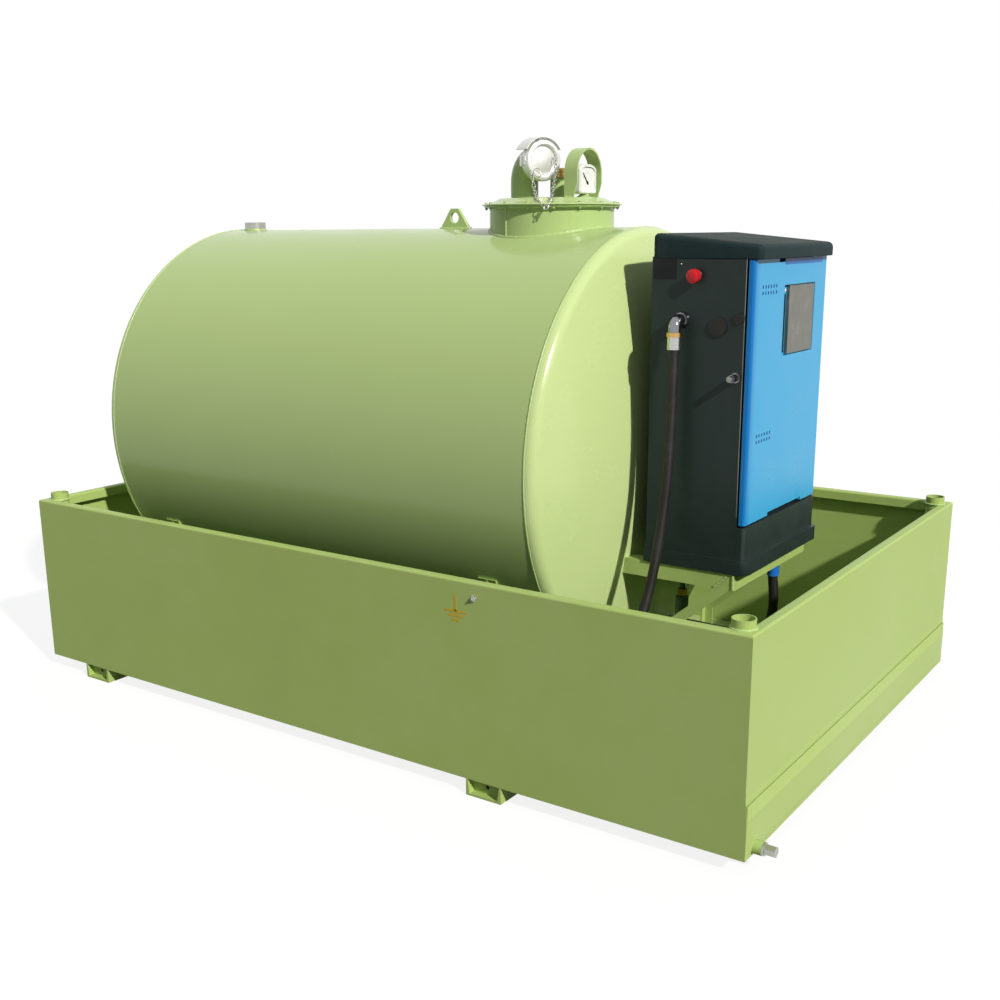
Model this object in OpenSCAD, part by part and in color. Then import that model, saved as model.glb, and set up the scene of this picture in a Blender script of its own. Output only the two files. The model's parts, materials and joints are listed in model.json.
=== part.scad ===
/* [Bund] */
// Length of the spill basin along the tank
bund_l = 2510; // [2300:10:3200]
// Width of the spill basin across the tank
bund_w = 1580; // [1500:10:2000]
// Height of the basin walls
bund_h = 536; // [420:4:700]
// Thickness of the basin sheet
sheet_t = 3; // [2:0.5:5]
// Width of the folded rim
rim_w = 30; // [24:1:50]
// Drop of the lip at the inner edge of the rim
lip_h = 30; // [20:1:50]
// Outer radius of the sheet folds
fold_r = 6; // [5.5:0.5:8]
// Height where the swage in the end wall starts
swage_low = 98; // [80:1:120]
// Height where the swage in the end wall ends
swage_high = 152; // [140:1:180]
// Step of the swage in the end wall
swage_d = 5; // [2:0.5:6]

/* [Runners] */
// Height of the runners under the basin
runner_h = 46; // [40:1:80]
// Width of a runner
runner_w = 110; // [90:1:160]
// Thickness of a runner's web, which lies on the ground
runner_t = 6; // [4:0.5:8]
// Thickness of a runner's flanges at their tips
runner_tip = 5; // [4:0.5:7]
// Thickness of a runner's flanges at the web
runner_root = 11; // [8:0.5:13]
// Distance between the two runners, centre to centre
runner_span = 1562; // [1300:2:1700]
// Distance of a runner's end plates from its ends
runner_recess = 20; // [10:1:40]
// Radius of the hole in a runner end
runner_hole_r = 6; // [4:0.5:9]

/* [Post sockets] */
// Outer radius of a roof post socket
socket_r = 28; // [25:0.5:32]
// Wall of a roof post socket
socket_t = 3; // [2:0.5:4]
// Height of a socket tube
socket_h = 200; // [120:5:300]
// Height of a socket above the rim
socket_up = 22; // [10:1:40]
// Distance of a socket centre from the outside of both walls
socket_in = 48; // [44:1:60]

/* [Tank] */
// Outer radius of the tank
tank_r = 625; // [560:5:680]
// Length of the tank shell between the heads
shell_l = 1596; // [1500:2:1700]
// Thickness of the tank plate
tank_t = 4; // [3:0.5:6]
// Depth of a dished head
head_d = 124; // [100:2:160]
// Knuckle radius of a dished head
knuckle_r = 32; // [20:1:50]
// Space between the basin floor and the tank
tank_up = 137; // [110:1:200]
// Distance of the tank's middle behind the basin's middle
tank_back = 250; // [150:5:300]

/* [Saddles] */
// Distance of a saddle's middle from the end of the shell
saddle_in = 166; // [120:2:260]
// Length of a saddle along the tank
saddle_l = 60; // [40:1:120]
// Plate thickness of the saddles
saddle_t = 6; // [4:1:10]
// Half of the angle that a saddle wraps, in degrees
saddle_wrap = 62; // [50:1:66]

/* [Manhole] */
// Distance of the manhole from the seam of the near head
manhole_in = 312; // [280:2:400]
// Outer radius of the manhole neck
neck_r = 183; // [150:1:200]
// Plate thickness of the neck
neck_t = 4; // [3:0.5:6]
// Height of the neck's flange above the top of the tank
neck_h = 62; // [50:1:90]
// Outer radius of the neck's flange and the lid
lid_r = 205; // [200:1:230]
// Thickness of the flange and the lid
lid_t = 5; // [4:0.5:8]
// Radius of the raised middle of the lid
crown_r = 150; // [140:1:160]
// Height of the raised middle of the lid
crown_h = 16; // [8:1:25]
// How far the neck's flange stays inside the lid's edge
flange_in = 6; // [3:1:8]
// Thickness of the gasket line between flange and lid
gasket_t = 0.4; // [0.2:0.1:0.8]

/* [Fill point] */
// Outer radius of the fill pipe
fill_r = 41; // [30:0.5:44]
// Wall of the fill pipe
fill_t = 3; // [2:0.5:4]
// Distance of the fill pipe from the lid's centre, towards the back
fill_back = 96; // [85:1:105]
// Height of the fill mouth's axis above the lid's middle
fill_up = 104; // [95:1:130]
// Bend radius of the fill pipe
fill_bend = 58; // [50:1:70]
// Angle of the fill mouth from the tank axis, in degrees
fill_turn = 25; // [0:1:40]
// Radius of the coupling body
coupling_r = 47; // [46:0.5:50]
// Length of the coupling body
coupling_l = 38; // [30:1:50]
// Radius of the cap's ring
cap_r = 56; // [54:0.5:60]
// Depth of the cap
cap_d = 26; // [22:1:32]
// Thickness of the rain guard over the cap
guard_t = 3; // [2:0.5:4]
// Depth of the rain guard
guard_d = 58; // [50:1:64]

/* [Dip point] */
// Outer radius of the dip pipe
dip_r = 24; // [20:0.5:26]
// Height of the dip pipe
dip_h = 62; // [40:1:80]
// Distance of the dip pipe from the lid's centre, towards the back
dip_back = 11; // [0:1:20]
// Distance of the dip pipe from the lid's centre, towards the rear wall
dip_side = 52; // [48:1:60]

/* [Level gauge] */
// Distance of the gauge from the lid's centre, towards the front end
gauge_x = 106; // [98:1:116]
// Width of the gauge box
gauge_w = 91; // [70:1:96]
// Height of the gauge box
gauge_h = 82; // [70:1:86]
// Depth of the gauge box
gauge_d = 36; // [30:1:38]
// Height of the gauge's stem
gauge_stem_h = 9; // [6:1:20]
// Radius of the gauge's stem under the box
gauge_stem_r = 10; // [8:1:16]
// Radius of the gauge's stem on the lid
gauge_foot_r = 24; // [20:1:34]
// Outer width of the strap over the gauge
strap_w = 140; // [130:1:150]
// Height of the strap over the gauge
strap_h = 136; // [130:1:150]
// Depth of the strap
strap_d = 42; // [36:1:50]
// Thickness of the strap
strap_t = 5; // [3:0.5:6]
// How far the strap's front edge is cut back at its feet
strap_cut = 12; // [6:1:18]
// Height of the cut at the strap's feet
strap_cut_h = 40; // [25:1:60]

/* [Top fittings] */
// Distance of the lifting eye from the middle of the tank, towards the front end
eye_x = 132; // [80:2:180]
// Width of the lifting eye at its foot
eye_w = 107; // [80:1:130]
// Width of the lifting eye at its top
eye_top = 28; // [24:1:40]
// Height of the lifting eye
eye_h = 59; // [55:1:75]
// Thickness of the lifting eye
eye_t = 12; // [8:1:16]
// Radius of the hole in the lifting eye
eye_hole_r = 16.5; // [10:0.5:18]
// Distance of the vent coupling from the tank's far seam
vent_in = 55; // [45:1:120]
// Outer radius of the vent coupling
vent_r = 36; // [30:1:40]
// Inner radius of the vent coupling
vent_hole_r = 28.3; // [20:0.1:31]
// Height of the vent coupling
vent_h = 25; // [20:1:40]

/* [Drain] */
// Outer radius of the drain coupling
drain_r = 17; // [16:0.5:20]
// Inner radius of the drain coupling
drain_hole_r = 12; // [10:0.5:14]
// Length of the drain coupling outside the wall
drain_l = 24; // [15:1:40]
// Height of the drain's axis above the underside of the basin floor
drain_up = 20; // [20:0.5:24]
// Distance of the drain from the front wall's outside
drain_in = 48; // [40:1:80]
// Length of the drain plug outside the coupling
plug_l = 31; // [18:1:36]

/* [Pump cabinet] */
// Width of the cabinet across the tank
cab_w = 500; // [460:2:560]
// Depth of the cabinet body
cab_d = 263; // [220:1:280]
// Height of the cabinet body
cab_h = 776; // [700:2:820]
// Thickness of the cabinet sheet
cab_t = 2; // [1.5:0.5:3]
// Space between the tank's head and the cabinet's back
cab_gap = 31; // [29:1:50]
// Height of the cabinet frame's top above the basin floor's underside
frame_up = 499; // [470:1:530]
// Height of the plinth
plinth_h = 40; // [30:1:50]
// How far the plinth stands out beyond the body
plinth_out = 5; // [3:1:8]
// How far the plinth stands out beyond the door
plinth_front = 13; // [8:1:20]
// Height of the base cover under the door
base_h = 88; // [70:1:110]
// Depth of the door
door_d = 17; // [16:1:24]
// Thickness of the door's skin
door_t = 3; // [2:0.5:4]
// Gap between the door and the body
door_gap = 5; // [5:0.5:7]
// Gap above and below the door
door_slit = 6; // [5:0.5:8]
// Space between the door's side edges and the sides of the body
door_in = 1; // [0:0.5:3]
// Radius of the door's free edge
door_round = 8; // [5:0.5:8]
// Depth of the notches in the door's top and bottom edges
notch_h = 9; // [6:1:12]
// Length of the notches in the door's top and bottom edges
notch_w = 240; // [180:1:260]
// Distance of the notches from the cabinet's middle, towards the hinge
notch_y = 22; // [0:1:40]
// Distance of the first vent slots from the cabinet's middle, towards the hinge
vent_y = -200; // [-210:1:-180]
// Distance of the upper vent slots below the top of the door
vent_high = 68; // [60:1:100]
// Distance of the lower vent slots below the top of the door
vent_low = 447; // [420:1:480]
// Height of a vent slot
vent_slot_h = 8.5; // [6:0.5:10]
// Width of a vent slot
vent_slot_w = 7; // [5:0.5:9]
// Distance from one vent slot to the next in a row
vent_pitch = 17.4; // [14:0.2:20]
// Distance from one row of vent slots to the next
vent_row = 15.6; // [12:0.2:20]
// Height of the hood at the front
hood_front = 36; // [26:1:40]
// Height of the hood at the back
hood_back = 60; // [50:1:70]
// How far the hood stands out beyond the door
hood_over = 18; // [14:1:30]
// How far the hood stands out beyond the sides
hood_side = 2; // [1:1:8]
// Radius of the front corners of the hood and the plinth, seen from above
hood_round = 20; // [16:1:28]
// Radius of the door's hinge pins
pin_r = 4; // [3:0.5:5]
// Radial clearance of the hinge pins
pin_gap = 0.08; // [0.03:0.01:0.1]
// Length of a hinge pin inside the door
pin_in = 20; // [14:1:30]

/* [Display] */
// Width of the display recess in the door
display_w = 218; // [180:1:240]
// Height of the display recess in the door
display_h = 184; // [150:1:210]
// Depth of the display recess in the door
display_d = 10; // [6:1:12]
// Distance of the recess from the cabinet's middle, towards the rear
display_y = 54; // [20:1:60]
// Distance of the recess's middle below the top of the door
display_z = 160; // [130:1:180]
// Thickness of the display panel
display_t = 9; // [6:0.5:9.5]
// Width of the open strip beside the display plate
strip_w = 35; // [30:1:60]
// Margin of the display plate inside its recess
plate_margin = 3; // [2:0.5:8]

/* [Side fittings] */
// Distance of the stop button from the cabinet's back
button_x = 126; // [90:1:150]
// Distance of the stop button below the top of the body
button_z = 46.5; // [40:1:80]
// Radius of the stop button's head
button_r = 17.5; // [16:0.5:24]
// Thickness of the stop button's head
button_t = 13; // [10:1:18]
// Space behind the stop button's head
button_gap = 11; // [10.5:0.5:16]
// Radius of the stop button's stem
stem_r = 9; // [6:0.5:12]
// Clearance around the stop button's stem
stem_gap = 0.3; // [0.2:0.05:0.5]
// Distance of the hose outlet from the cabinet's back
outlet_x = 90; // [70:1:100]
// Distance of the hose outlet below the top of the body
outlet_z = 158; // [130:1:180]
// Outer radius of the hose outlet
outlet_r = 18; // [15:0.5:22]
// Length of the hose outlet's elbow below its axis
outlet_drop = 29; // [24:1:40]
// Distance of the hose outlet's axis from the side panel
outlet_out = 44; // [38:1:60]
// Height of the hose outlet's swivel ring
swivel_h = 11; // [6:1:14]
// Outer radius of the hose ferrule
ferrule_r = 18; // [17:0.5:22]
// Length of the hose ferrule
ferrule_l = 32; // [28:1:44]
// Distance of the large blanking disc from the cabinet's back
disc_x = 191; // [170:1:200]
// Distance of the large blanking disc below the top of the body
disc_z = 172; // [150:1:190]
// Radius of the large blanking disc
disc_r = 24; // [18:0.5:26]
// Distance of the small blanking disc from the body's front edge
small_disc_in = 15; // [15:1:26]
// Distance of the small blanking disc below the top of the body
small_disc_z = 149; // [130:1:170]
// Radius of the small blanking disc
small_disc_r = 14; // [10:0.5:16]
// Thickness of the blanking discs
disc_t = 5; // [3:0.5:8]
// Distance of the key lock from the body's front edge
lock_in = 18; // [16:1:40]
// Distance of the key lock below the top of the body
lock_z = 298; // [280:1:340]
// Radius of the key lock
lock_r = 8; // [7:0.5:12]
// Length of the knob on the key lock's end
lock_knob = 14; // [10:1:18]
// How far the key lock stands out
lock_out = 42; // [30:1:46]

/* [Cabinet frame] */
// Leg width of the frame's angle bars
bar = 45; // [36:1:50]
// Thickness of the frame's angle bars
bar_t = 4; // [3:0.5:6]
// How far the rear legs stand behind the cabinet's back
leg_back = 48; // [46:1:50]
// How far the frame's front stays behind the door's face
frame_in = 21; // [14:1:30]
// Leg width of the angle bars of the struts and the legs
strut_w = 28; // [24:1:34]
// Slope of the struts below level, in degrees
strut_a = 40; // [36:1:44]
// Distance of the struts' upper ends behind the frame's front
strut_in = 13; // [8:1:20]

/* [Hoses] */
// Outer diameter of the delivery hose
hose_d = 27; // [24:1:34]
// Level length of the hose at the end of its bend above the floor
landing_end = 4; // [3:1:10]
// Radius of the coil's inner half turn
coil_in = 140; // [136:1:148]
// How much tighter the first half turn is, so that the hose comes down inside the next one
coil_lead = 10; // [8:1:12]
// Space between the turns of the coil
coil_gap = 1; // [0.5:0.5:2]
// Distance of the coil's start behind the hose outlet, along the tank
coil_back = 42; // [30:1:50]
// Radius of the bend where the delivery hose reaches the floor
landing_r = 150; // [145:1:155]
// Radius of the nozzle's body
nozzle_r = 22; // [20:1:26]
// Length of the nozzle's body
nozzle_l = 110; // [90:1:130]
// Radius of the swivel that joins the nozzle to the hose
swivel_end_r = 19; // [17:0.5:20]
// Length of the swivel that joins the nozzle to the hose
swivel_end_l = 32; // [24:1:40]
// Radius of the nozzle's spout
spout_r = 11; // [9:0.5:13]
// Length of the nozzle's spout
spout_l = 95; // [80:1:120]
// Outer diameter of the suction hose
suction_d = 28; // [26:1:34]
// Distance of the suction hose from the cabinet's middle, towards the rear wall
suction_y = 82; // [30:1:120]
// Lean of the suction hose towards the door, as it leaves the cabinet
suction_lean = 70; // [40:1:110]
// Length of the suction hose's pull downwards
suction_fall = 150; // [110:1:190]
// Length of the suction hose's pull out of the tank
suction_run = 160; // [120:1:170]
// Radius of the suction hose's collar
collar_r = 17; // [16:0.5:20]
// Height of the suction hose's collar
collar_h = 28; // [22:1:40]
// Height of the tank's intake above the ground
intake_z = 250; // [235:1:290]
// Distance of the tank's intake from the middle, towards the rear wall
intake_y = 130; // [90:1:160]
// Length of the tank's intake outside the head
intake_l = 60; // [40:1:70]
// Radius of the pipes under the cabinet
nipple_r = 8; // [6:1:11]
// Length of the pipes that show under the frame
nipple_l = 72; // [60:1:80]
// Radius of the suction filter's bowl
filter_r = 18; // [14:0.5:24]
// Height of the suction filter's bowl
filter_h = 50; // [40:1:70]
// Distance of the filter from the cabinet's back
filter_x = 66; // [60:1:150]
// Distance of the filter from the cabinet's middle, towards the front wall
filter_y = 150; // [120:1:170]

/* [Hidden] */
$fn = 96;

green = "#a9c07a";
anthracite = "#2c3436";
blue = "#3d9bd3";
steel = "#c9ccce";
brass = "#b58a3c";
black = "#1b1b1c";

// Space left between pieces that only touch
seat = 0.3;
eps = 0.01;

// Levels above the ground
floor_z = runner_h;
floor_top = floor_z + sheet_t;
rim_z = floor_z + bund_h;
tank_z = floor_top + tank_up + tank_r;
tank_top = tank_z + tank_r;
flange_z = tank_top + neck_h;
lid_z = flange_z + gasket_t;
crown_z = lid_z + lid_t + crown_h;
frame_z = floor_z + frame_up;
base_z = frame_z + plinth_h;
body_top = base_z + cab_h;
door_bottom = base_z + base_h + door_slit;
door_top = body_top - door_slit;
door_h = door_top - door_bottom;

// Places along the tank, from the middle of the basin
drain_reach = drain_l + plug_l;
bund_x = -drain_reach / 2;
tank_x = -tank_back;
seam_x = tank_x + shell_l / 2;
saddle_span = shell_l - 2 * saddle_in;
apex_x = seam_x + head_d;
cab_back = apex_x + cab_gap;
cab_front = cab_back + cab_d;
door_back = cab_front + door_gap;
door_front = door_back + door_d;
frame_front = door_front - frame_in;
cab_side = -cab_w / 2;
pin_x = door_back + door_d / 2;
pin_y = cab_w / 2 - door_in - door_d / 2;
lid_x = seam_x - manhole_in;

// The suction hose comes out under the cabinet, just behind the frame's front bar
suction_x = frame_front - bar_t - collar_r - 4;
collar_end = frame_z - bar - 10 - collar_h;
intake_end = seam_x + head_at(norm([intake_y, tank_z - intake_z])) + intake_l;

module in_place() {
    translate([bund_x, 0, 0]) children();
}

// ---------------------------------------------------------------- basin

// Section of a wall with its fold: x runs inwards, y runs up
module fold_ring(from_x, from_y) {
    intersection() {
        difference() {
            circle(fold_r);
            circle(fold_r - sheet_t);
        }
        translate([from_x, from_y]) square(fold_r);
    }
}

module wall_section(low) {
    translate([0, low]) square([sheet_t, bund_h - fold_r - low]);
    translate([fold_r, bund_h - fold_r]) fold_ring(-fold_r, 0);
    translate([fold_r, bund_h - sheet_t]) square([rim_w - 2 * fold_r, sheet_t]);
    translate([rim_w - fold_r, bund_h - fold_r]) fold_ring(0, 0);
    translate([rim_w - sheet_t, bund_h - lip_h]) square([sheet_t, lip_h - fold_r]);
}

// Wall along x with its outside at y = 0, mitred at both ends
module mitred_wall(length, low) {
    intersection() {
        translate([-length / 2, 0, floor_z]) rotate([90, 0, 90])
            linear_extrude(length) wall_section(low);
        translate([0, 0, floor_z]) linear_extrude(bund_h)
            polygon([[-length / 2, 0], [length / 2, 0],
                     [length / 2 - rim_w, rim_w], [-length / 2 + rim_w, rim_w]]);
    }
}

// Space that the four sockets need where they pass the rims
module socket_cuts(r) {
    for (x = [-1, 1], y = [-1, 1])
        translate([x * (bund_l / 2 - socket_in), y * (bund_w / 2 - socket_in), rim_z - lip_h - 1])
            cylinder(r = r, h = lip_h + 2);
}

// Outline of the end wall below its swage, seen from the front
module swage_outline(inner) {
    x = bund_l / 2;
    polygon([[x - inner, 0], [x, 0], [x, swage_low], [x - swage_d, swage_high],
             [x - swage_d - sheet_t, swage_high], [x - inner, swage_low]]);
}

module bund_floor() {
    color(green) in_place() {
        translate([-bund_l / 2 + sheet_t, -bund_w / 2 + sheet_t, floor_z])
            cube([bund_l - 2 * sheet_t, bund_w - 2 * sheet_t, sheet_t]);
    }
}

module long_wall() {
    difference() {
        union() {
            translate([-swage_d / 2, -bund_w / 2, 0]) mitred_wall(bund_l - swage_d, 0);
            translate([0, -bund_w / 2 + sheet_t, floor_z]) rotate([90, 0, 0])
                linear_extrude(sheet_t) swage_outline(swage_d + 2 * sheet_t);
        }
        socket_cuts(socket_r + seat);
    }
}

module front_wall() {
    color(green) in_place() long_wall();
}

module rear_wall() {
    color(green) in_place() mirror([0, 1, 0]) long_wall();
}

module left_wall() {
    color(green) in_place() difference() {
        translate([-bund_l / 2, 0, 0]) rotate([0, 0, -90]) mitred_wall(bund_w, 0);
        socket_cuts(socket_r + seat);
    }
}

module right_wall() {
    color(green) in_place() difference() {
        union() {
            translate([bund_l / 2 - swage_d, 0, 0]) rotate([0, 0, 90])
                mitred_wall(bund_w, swage_high);
            translate([0, bund_w / 2 - sheet_t, floor_z]) rotate([90, 0, 0])
                linear_extrude(bund_w - 2 * sheet_t) swage_outline(sheet_t);
        }
        socket_cuts(socket_r + seat);
        translate([bund_l / 2 - 2 * sheet_t, -bund_w / 2 + drain_in, floor_z + drain_up])
            rotate([0, 90, 0]) cylinder(r = drain_r + seat, h = 4 * sheet_t);
    }
}

module post_sockets() {
    color(green) in_place()
        for (x = [-1, 1], y = [-1, 1])
            translate([x * (bund_l / 2 - socket_in), y * (bund_w / 2 - socket_in),
                       rim_z + socket_up - socket_h])
                difference() {
                    cylinder(r = socket_r, h = socket_h);
                    translate([0, 0, -1]) cylinder(r = socket_r - socket_t, h = socket_h + 2);
                }
}

// ---------------------------------------------------------------- runners

// Rolled channel with its web down, closed by a recessed plate with a hole at each end
module runner() {
    half = runner_w / 2;
    rotate([90, 0, 0]) linear_extrude(bund_w, center = true)
        polygon([[-half, 0], [half, 0], [half, runner_h], [half - runner_tip, runner_h],
                 [half - runner_root, runner_t], [-half + runner_root, runner_t],
                 [-half + runner_tip, runner_h], [-half, runner_h]]);
    for (m = [0, 1]) mirror([0, m, 0])
        translate([0, bund_w / 2 - runner_recess, 0]) difference() {
            rotate([90, 0, 0]) linear_extrude(runner_t)
                polygon([[-half + 2, 2], [half - 2, 2], [half - 2, runner_h - 2],
                         [-half + 2, runner_h - 2]]);
            translate([0, 1, (runner_h + runner_t) / 2]) rotate([90, 0, 0])
                cylinder(r = runner_hole_r, h = runner_t + 2);
        }
}

module runners() {
    color(green) in_place()
        for (x = [-1, 1])
            translate([tank_x + x * runner_span / 2, 0, 0]) runner();
}

// ---------------------------------------------------------------- drain

module at_drain(x) {
    translate([bund_l / 2 + x, -bund_w / 2 + drain_in, floor_z + drain_up])
        rotate([0, 90, 0]) children();
}

module drain_coupling() {
    color(green) in_place() at_drain(-2 * sheet_t) difference() {
        cylinder(r = drain_r, h = drain_l + 2 * sheet_t);
        translate([0, 0, -1]) cylinder(r = drain_hole_r, h = drain_l + 2 * sheet_t + 2);
    }
}

module drain_plug() {
    head_r = drain_r - 1;
    color(steel) in_place() {
        at_drain(drain_l + seat) cylinder(r = head_r, h = 5);
        at_drain(drain_l + 5) cylinder(r = head_r - 2, h = plug_l - 5, $fn = 6);
        at_drain(drain_l - 12) cylinder(r = drain_hole_r - seat, h = 12 + plug_l / 2);
    }
}

// ---------------------------------------------------------------- tank

module saddle() {
    reach = saddle_wrap;
    pad_r = tank_r + saddle_t;
    half_w = pad_r * sin(reach);
    drop = tank_z - floor_top;
    intersection() {
        translate([0, 0, tank_z]) rotate([0, 90, 0]) difference() {
            union() {
                cylinder(r = pad_r, h = saddle_l, center = true);
                translate([0, -half_w, -saddle_t / 2]) cube([drop, 2 * half_w, saddle_t]);
            }
            cylinder(r = tank_r + seat, h = saddle_l + 2, center = true);
        }
        translate([0, 0, floor_top]) rotate([90, 0, 90])
            linear_extrude(saddle_l, center = true)
                polygon([[-half_w * 0.8, 0], [half_w * 0.8, 0],
                         [half_w, drop - pad_r * cos(reach)],
                         [-half_w, drop - pad_r * cos(reach)]]);
    }
    translate([-saddle_l / 2, -half_w * 0.8, floor_top]) cube([saddle_l, half_w * 1.6, saddle_t]);
}

module saddle_left() {
    color(green) in_place() translate([tank_x - saddle_span / 2, 0, 0]) saddle();
}

module saddle_right() {
    color(green) in_place() translate([tank_x + saddle_span / 2, 0, 0]) saddle();
}

module tank_shell() {
    color(green) in_place() difference() {
        translate([tank_x - shell_l / 2, 0, tank_z]) rotate([0, 90, 0]) difference() {
            cylinder(r = tank_r, h = shell_l, $fn = 180);
            translate([0, 0, -1]) cylinder(r = tank_r - tank_t, h = shell_l + 2, $fn = 180);
        }
        translate([lid_x, 0, tank_z]) cylinder(r = neck_r + seat, h = tank_r + 10);
    }
}

// Half section of a dished head, from its seam at y = 0
module head_section(r, d, k) {
    // The knuckle's centre is at [r - k, 0], and the crown's arc touches it
    crown = ((r - k) * (r - k) + d * d - k * k) / (2 * (d - k));
    a = atan2(r - k, crown - d);
    polygon(concat(
        [[0, 0], [r, 0]],
        [for (i = [1:6]) let (t = i * (90 - a) / 6) [r - k + k * cos(t), k * sin(t)]],
        [for (i = [1:24]) let (t = a * (1 - i / 24)) [crown * sin(t), d - crown + crown * cos(t)]]
    ));
}

module head() {
    difference() {
        rotate_extrude($fn = 180) head_section(tank_r, head_d, knuckle_r);
        translate([0, 0, -eps])
            rotate_extrude($fn = 180) head_section(tank_r - tank_t, head_d - tank_t,
                                                   knuckle_r - tank_t);
    }
}

module head_left() {
    color(green) in_place()
        translate([tank_x - shell_l / 2, 0, tank_z]) rotate([0, -90, 0]) head();
}

module head_right() {
    color(green) in_place()
        translate([seam_x, 0, tank_z]) rotate([0, 90, 0]) head();
}

module lifting_eye() {
    color(green) in_place()
        translate([tank_x + eye_x, 0, tank_top + seat]) rotate([90, 0, 0])
            difference() {
                linear_extrude(eye_t, center = true)
                    polygon([[-eye_w / 2, 0], [eye_w / 2, 0], [eye_top / 2, eye_h],
                             [-eye_top / 2, eye_h]]);
                translate([0, eye_h / 2 + 2, -eye_t]) cylinder(r = eye_hole_r, h = 2 * eye_t);
            }
}

module vent_coupling() {
    color(steel) in_place()
        translate([tank_x - shell_l / 2 + vent_in, 0, tank_top + seat]) difference() {
            cylinder(r = vent_r, h = vent_h);
            translate([0, 0, -1]) cylinder(r = vent_hole_r, h = vent_h + 2);
        }
}

// ---------------------------------------------------------------- manhole

module manhole_neck() {
    foot = tank_z + sqrt(tank_r * tank_r - neck_r * neck_r) - 2 * tank_t;
    color(green) in_place() translate([lid_x, 0, 0]) difference() {
        union() {
            translate([0, 0, foot]) cylinder(r = neck_r, h = flange_z - foot);
            translate([0, 0, flange_z - lid_t]) cylinder(r = lid_r - flange_in, h = lid_t);
        }
        translate([0, 0, foot - 1]) cylinder(r = neck_r - neck_t, h = flange_z - foot + 2);
    }
}

module manhole_lid() {
    color(green) in_place() translate([lid_x, 0, lid_z]) difference() {
        rotate_extrude()
            polygon([[0, 0], [lid_r, 0], [lid_r, lid_t / 2], [lid_r - lid_t, lid_t],
                     [neck_r + lid_t, lid_t + 1], [crown_r + 3 * lid_t, lid_t + 0.6 * crown_h],
                     [crown_r + lid_t, lid_t + 0.9 * crown_h], [crown_r - lid_t, lid_t + crown_h],
                     [0, lid_t + crown_h]]);
        translate([-fill_back, 0, -1]) cylinder(r = fill_r + seat, h = crown_h + lid_t + 2);
        translate([-dip_back, dip_side, -1]) cylinder(r = dip_r + seat, h = crown_h + lid_t + 2);
    }
}

// ---------------------------------------------------------------- fill point

// Frame whose x axis runs out of the fill mouth, with its origin where the bend ends
module at_fill() {
    translate([lid_x - fill_back, 0, crown_z + fill_up]) rotate([0, 0, -fill_turn]) children();
}

module fill_pipe() {
    rise = fill_up - fill_bend;
    color(green) in_place() at_fill() {
        difference() {
            translate([0, 0, -fill_up - crown_h])
                cylinder(r = fill_r, h = rise + crown_h);
            translate([0, 0, -fill_up - crown_h - 1])
                cylinder(r = fill_r - fill_t, h = rise + crown_h + 2);
        }
        translate([fill_bend, 0, -fill_bend]) rotate([90, 0, 0]) rotate([0, 0, 90])
            rotate_extrude(angle = 90) translate([fill_bend, 0]) difference() {
                circle(fill_r);
                circle(fill_r - fill_t);
            }
    }
}

module fill_coupling() {
    color(steel) in_place() at_fill() translate([fill_bend + seat, 0, 0]) rotate([0, 90, 0])
        difference() {
            cylinder(r = coupling_r, h = coupling_l);
            translate([0, 0, -1]) cylinder(r = fill_r - fill_t, h = coupling_l + 2);
        }
}

module fill_cap() {
    face_t = 4;
    wall_t = cap_r - coupling_r - seat;
    start = fill_bend + seat + coupling_l - cap_d + face_t + seat;
    color(steel) in_place() at_fill() {
        translate([start, 0, 0]) rotate([0, 90, 0]) difference() {
            cylinder(r = cap_r, h = cap_d);
            translate([0, 0, -1]) cylinder(r = cap_r - wall_t, h = cap_d - face_t + 1);
        }
        for (s = [-1, 1])
            translate([start + 4, s * (cap_r + 1) - 3, -12]) cube([20, 6, 24]);
    }
}

module fill_guard() {
    guard_r = cap_r + 8;
    color(steel) in_place() at_fill()
        translate([fill_bend - 8, 0, 0]) rotate([0, 90, 0]) {
            rotate([0, 0, 180 - 62]) rotate_extrude(angle = 124)
                translate([guard_r, 0]) square([guard_t, guard_d]);
            translate([-guard_r - guard_t / 2, -6, 12])
                cube([guard_r + guard_t / 2 - coupling_r - seat, 12, 8]);
        }
}

// ---------------------------------------------------------------- dip point and gauge

module dip_pipe() {
    color(green) in_place() translate([lid_x - dip_back, dip_side, crown_z - crown_h])
        difference() {
            cylinder(r = dip_r, h = crown_h + dip_h);
            translate([0, 0, -1]) cylinder(r = dip_r - 3, h = crown_h + dip_h + 2);
        }
}

module dip_plug() {
    color(brass) in_place() translate([lid_x - dip_back, dip_side, crown_z + dip_h + seat]) {
        cylinder(r = dip_r, h = 10);
        translate([0, 0, 9]) cylinder(r = dip_r - 5, h = 5);
        translate([0, 0, 13]) cylinder(r = dip_r - 1, h = 10);
    }
}

module gauge_stem() {
    color(green) in_place() translate([lid_x + gauge_x, 0, crown_z + seat])
        rotate_extrude()
            polygon([[0, 0], [gauge_foot_r, 0], [gauge_stem_r, gauge_stem_h - 2],
                     [gauge_stem_r, gauge_stem_h], [0, gauge_stem_h]]);
}

module gauge_box() {
    corner = 16;
    color("white") in_place()
        translate([lid_x + gauge_x - gauge_d / 2, 0, crown_z + gauge_stem_h + 2 * seat + gauge_h / 2])
            rotate([90, 0, 90]) linear_extrude(gauge_d) {
                square([gauge_w - 2 * corner, gauge_h], center = true);
                square([gauge_w, gauge_h - 2 * corner], center = true);
                for (x = [-1, 1], y = [-1, 1])
                    translate([x * (gauge_w / 2 - corner), y * (gauge_h / 2 - corner)])
                        circle(corner);
            }
}

// Upright of height h with a half round top, starting d below its foot
module arch(r, h, d) {
    translate([-r, -d]) square([2 * r, h + d]);
    intersection() {
        translate([0, h]) circle(r);
        translate([-r, h]) square([2 * r, r]);
    }
}

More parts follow.
